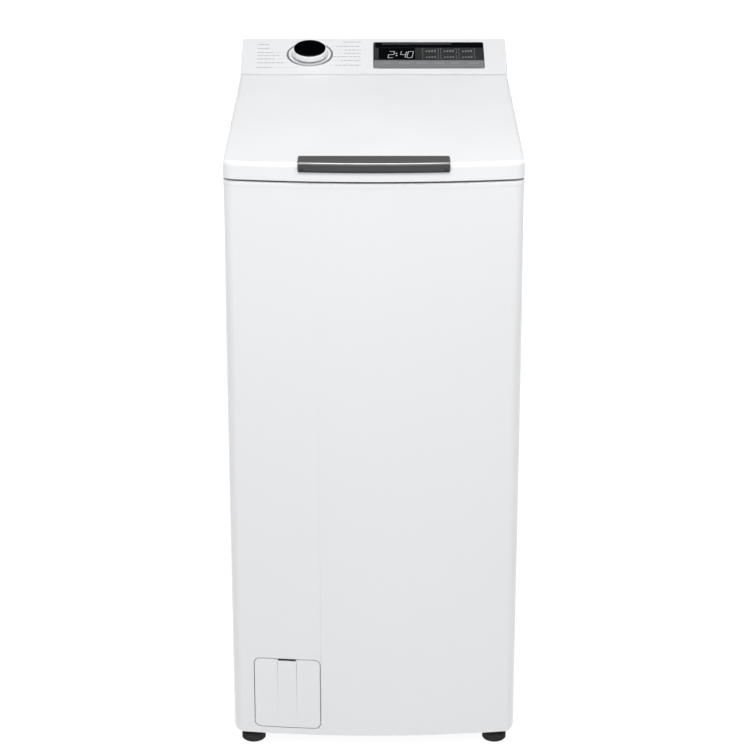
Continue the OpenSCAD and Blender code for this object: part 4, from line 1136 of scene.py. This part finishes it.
def finish_node(name, mat, edge=0.0, segments=2, angle=32):
    """Gives a CAD piece its material and rounds its edges with modifiers. Its mesh stays as it is."""
    obj = frame["nodes"][name]
    obj.data.materials.clear()
    obj.data.materials.append(mat)
    weld = obj.modifiers.new("weld", "WELD")
    weld.merge_threshold = 0.002 * MM
    flat = obj.modifiers.new("flat", "DECIMATE")
    flat.decimate_type, flat.angle_limit = "DISSOLVE", math.radians(0.3)
    if edge:
        bevel = obj.modifiers.new("edges", "BEVEL")
        bevel.width, bevel.segments = edge, segments
        bevel.limit_method, bevel.angle_limit = "ANGLE", math.radians(angle)
        bevel.miter_outer = "MITER_ARC"
    weigh_normals(obj)


def true_normals(obj):
    """Normals straight from the front's arc, on every vertex that lies on it."""
    normals = []
    for vertex in obj.data.vertices:
        x, y, _ = vertex.co
        out = Vector((x, y - ARC_Y, 0.0))
        normals.append(out.normalized() if abs(out.length - ARC_R) < 1e-6 else Vector((0.0, 0.0, 0.0)))
    obj.data.normals_split_custom_set_from_vertices(normals)


def weigh_normals(obj):
    normals = obj.modifiers.new("normals", "WEIGHTED_NORMAL")
    normals.keep_sharp = True


NODE_LOOKS = {
    "base_frame": (BLACK_PLASTIC, 0.8), "side_panel_left": (WHITE, 0.4),
    "side_panel_right": (WHITE, 0.4), "rear_cover": (ZINC, 0.3), "rear_screws": (STEEL, 0.4),
    "top_frame": (WHITE_PLASTIC, 1.0), "display_board": (BOARD, 0.2),
    "knob_encoder": (BLACK_PLASTIC, 0.3), "control_module": (GREY_PLASTIC, 1.0),
    "lid_lock": (BLACK_PLASTIC, 0.6), "hinge_brackets": (ZINC, 0.3), "suspension_rails": (ZINC, 0.4),
    "inlet_valve": (WHITE_PLASTIC, 0.8), "fill_hose": (BLACK_RUBBER, 0.3),
    "mains_gland": (BLACK_RUBBER, 0.4), "filter_surround": (WHITE_PLASTIC, 0.5),
    "filter_housing": (WHITE_PLASTIC, 0.8), "drain_pump": (BLACK_PLASTIC, 0.8),
    "outlet_pipe": (GREY_PLASTIC, 0.3), "rear_feet": (BLACK_RUBBER, 1.0),
    "dampers": (BLACK_PLASTIC, 0.8), "lid_inner": (WHITE_PLASTIC, 0.7), "lid_striker": (STEEL, 0.4),
    "lid_hinge_pins": (STEEL, 0.3), "dispenser_housing": (WHITE_PLASTIC, 0.6),
    "detergent_tray": (PALE_BLUE, 0.5), "pump_filter": (BLUE_PLASTIC, 0.8),
    "pump_impeller": (WHITE_PLASTIC, 0.3), "lock_bolt": (RED_PLASTIC, 0.3),
    "tub_left": (TUB_PLASTIC, 1.0), "tub_right": (TUB_PLASTIC, 1.0), "tub_gasket": (BLACK_RUBBER, 0.2),
    "counterweights": (CONCRETE, 3.0), "drum_bearings": (STEEL, 0.4), "motor_housing": (CAST, 0.8),
    "heater": (STEEL, 0.3), "drive_belt": (BLACK_RUBBER, 0.2), "damper_rods": (STEEL, 0.5),
    "drum_shell": (DRUM_SHEET, 0.2), "drum_ends": (STAINLESS, 0.5),
    "drum_lifters": (WHITE_PLASTIC, 2.0), "drum_pulley": (CAST, 0.8),
    "drum_flap_front": (DRUM_SHEET, 0.2), "drum_flap_rear": (DRUM_SHEET, 0.2),
    "flap_latch": (BLUE_PLASTIC, 0.5), "motor_rotor": (LAMINATED, 0.4),
}

for node_name, (look, edge_mm) in NODE_LOOKS.items():
    finish_node(node_name, look, edge_mm * MM)
for piece in PIECES.values():
    if piece.name in ("front_skin", "flap_skin"):
        true_normals(piece)
    else:
        weigh_normals(piece)


# ---------- floor, light and camera ----------

def floor():
    paint = Paint("floor_paper", specular_ior_level=0.1, emission_strength=0.93)
    paint.colour(paint.noise(0.4), grey(0.24), grey(0.28))
    paint.shader.inputs["Emission Color"].default_value = (1.0, 1.0, 1.0, 1.0)
    paint.rough(paint.noise(20.0), 0.8, 0.9)
    shape = Shape()
    shape.face((-90, -90, 0), (90, -90, 0), (90, 90, 0), (-90, 90, 0))
    mesh = bpy.data.meshes.new("floor")
    mesh.from_pydata(shape.points, [], shape.faces)
    mesh.materials.append(paint.mat)
    obj = bpy.data.objects.new("floor", mesh)
    bpy.context.scene.collection.objects.link(obj)


def softbox(name, place, target, width, height, power, spread=180):
    light = bpy.data.lights.new(name, "AREA")
    light.shape, light.size, light.size_y = "RECTANGLE", width, height
    light.energy, light.spread = power, math.radians(spread)
    obj = bpy.data.objects.new(name, light)
    obj.location = place
    obj.rotation_euler = (Vector(target) - Vector(place)).to_track_quat("-Z", "Y").to_euler()
    bpy.context.scene.collection.objects.link(obj)


def studio():
    """Soft light that comes mostly from the front and above, and fades towards the back."""
    world = bpy.data.worlds.new("studio")
    world.use_nodes = True
    tree = world.node_tree
    background = tree.nodes["Background"]
    direction = tree.nodes.new("ShaderNodeTexCoord")
    split = tree.nodes.new("ShaderNodeSeparateXYZ")
    fade = tree.nodes.new("ShaderNodeMapRange")
    for key, value in (("From Min", -0.9), ("From Max", 0.45), ("To Min", 0.14), ("To Max", 0.012)):
        fade.inputs[key].default_value = value
    tree.links.new(direction.outputs["Generated"], split.inputs["Vector"])
    tree.links.new(split.outputs["Y"], fade.inputs["Value"])
    tree.links.new(fade.outputs["Result"], background.inputs["Strength"])
    background.inputs["Color"].default_value = (0.97, 0.985, 1.0, 1.0)
    bpy.context.scene.world = world
    softbox("overhead", (0.0, 0.0, 3.0), (0.0, 0.0, 0.9), 2.4, 1.6, 43.0)
    softbox("front", (0.0, -1.7, 2.35), (0.0, -0.3, 0.7), 2.4, 1.0, 33.5)
    softbox("floor_light", (0.0, 3.8, 4.5), (0.0, 3.8, 0.0), 2.6, 2.2, 90.0, spread=60)
    for name, x in (("rear_left", -2.8), ("rear_right", 2.8)):
        softbox(name, (x, 2.7, 1.1), (0.0, 0.2, 0.6), 1.4, 1.6, 26.0)
    bpy.context.scene.view_settings.view_transform = "Standard"


CAMERA_AT = (1.5 * MM, -3.405, 1.755)
CAMERA_DOWN = 20.835
CAMERA_LENS = 118.4


def camera():
    lens = bpy.data.cameras.new("camera")
    lens.lens, lens.sensor_width = CAMERA_LENS, 36.0
    obj = bpy.data.objects.new("camera", lens)
    obj.location = CAMERA_AT
    obj.rotation_euler = (math.radians(90 - CAMERA_DOWN), 0.0, 0.0)
    bpy.context.scene.collection.objects.link(obj)
    bpy.context.scene.camera = obj


floor()
studio()
camera()
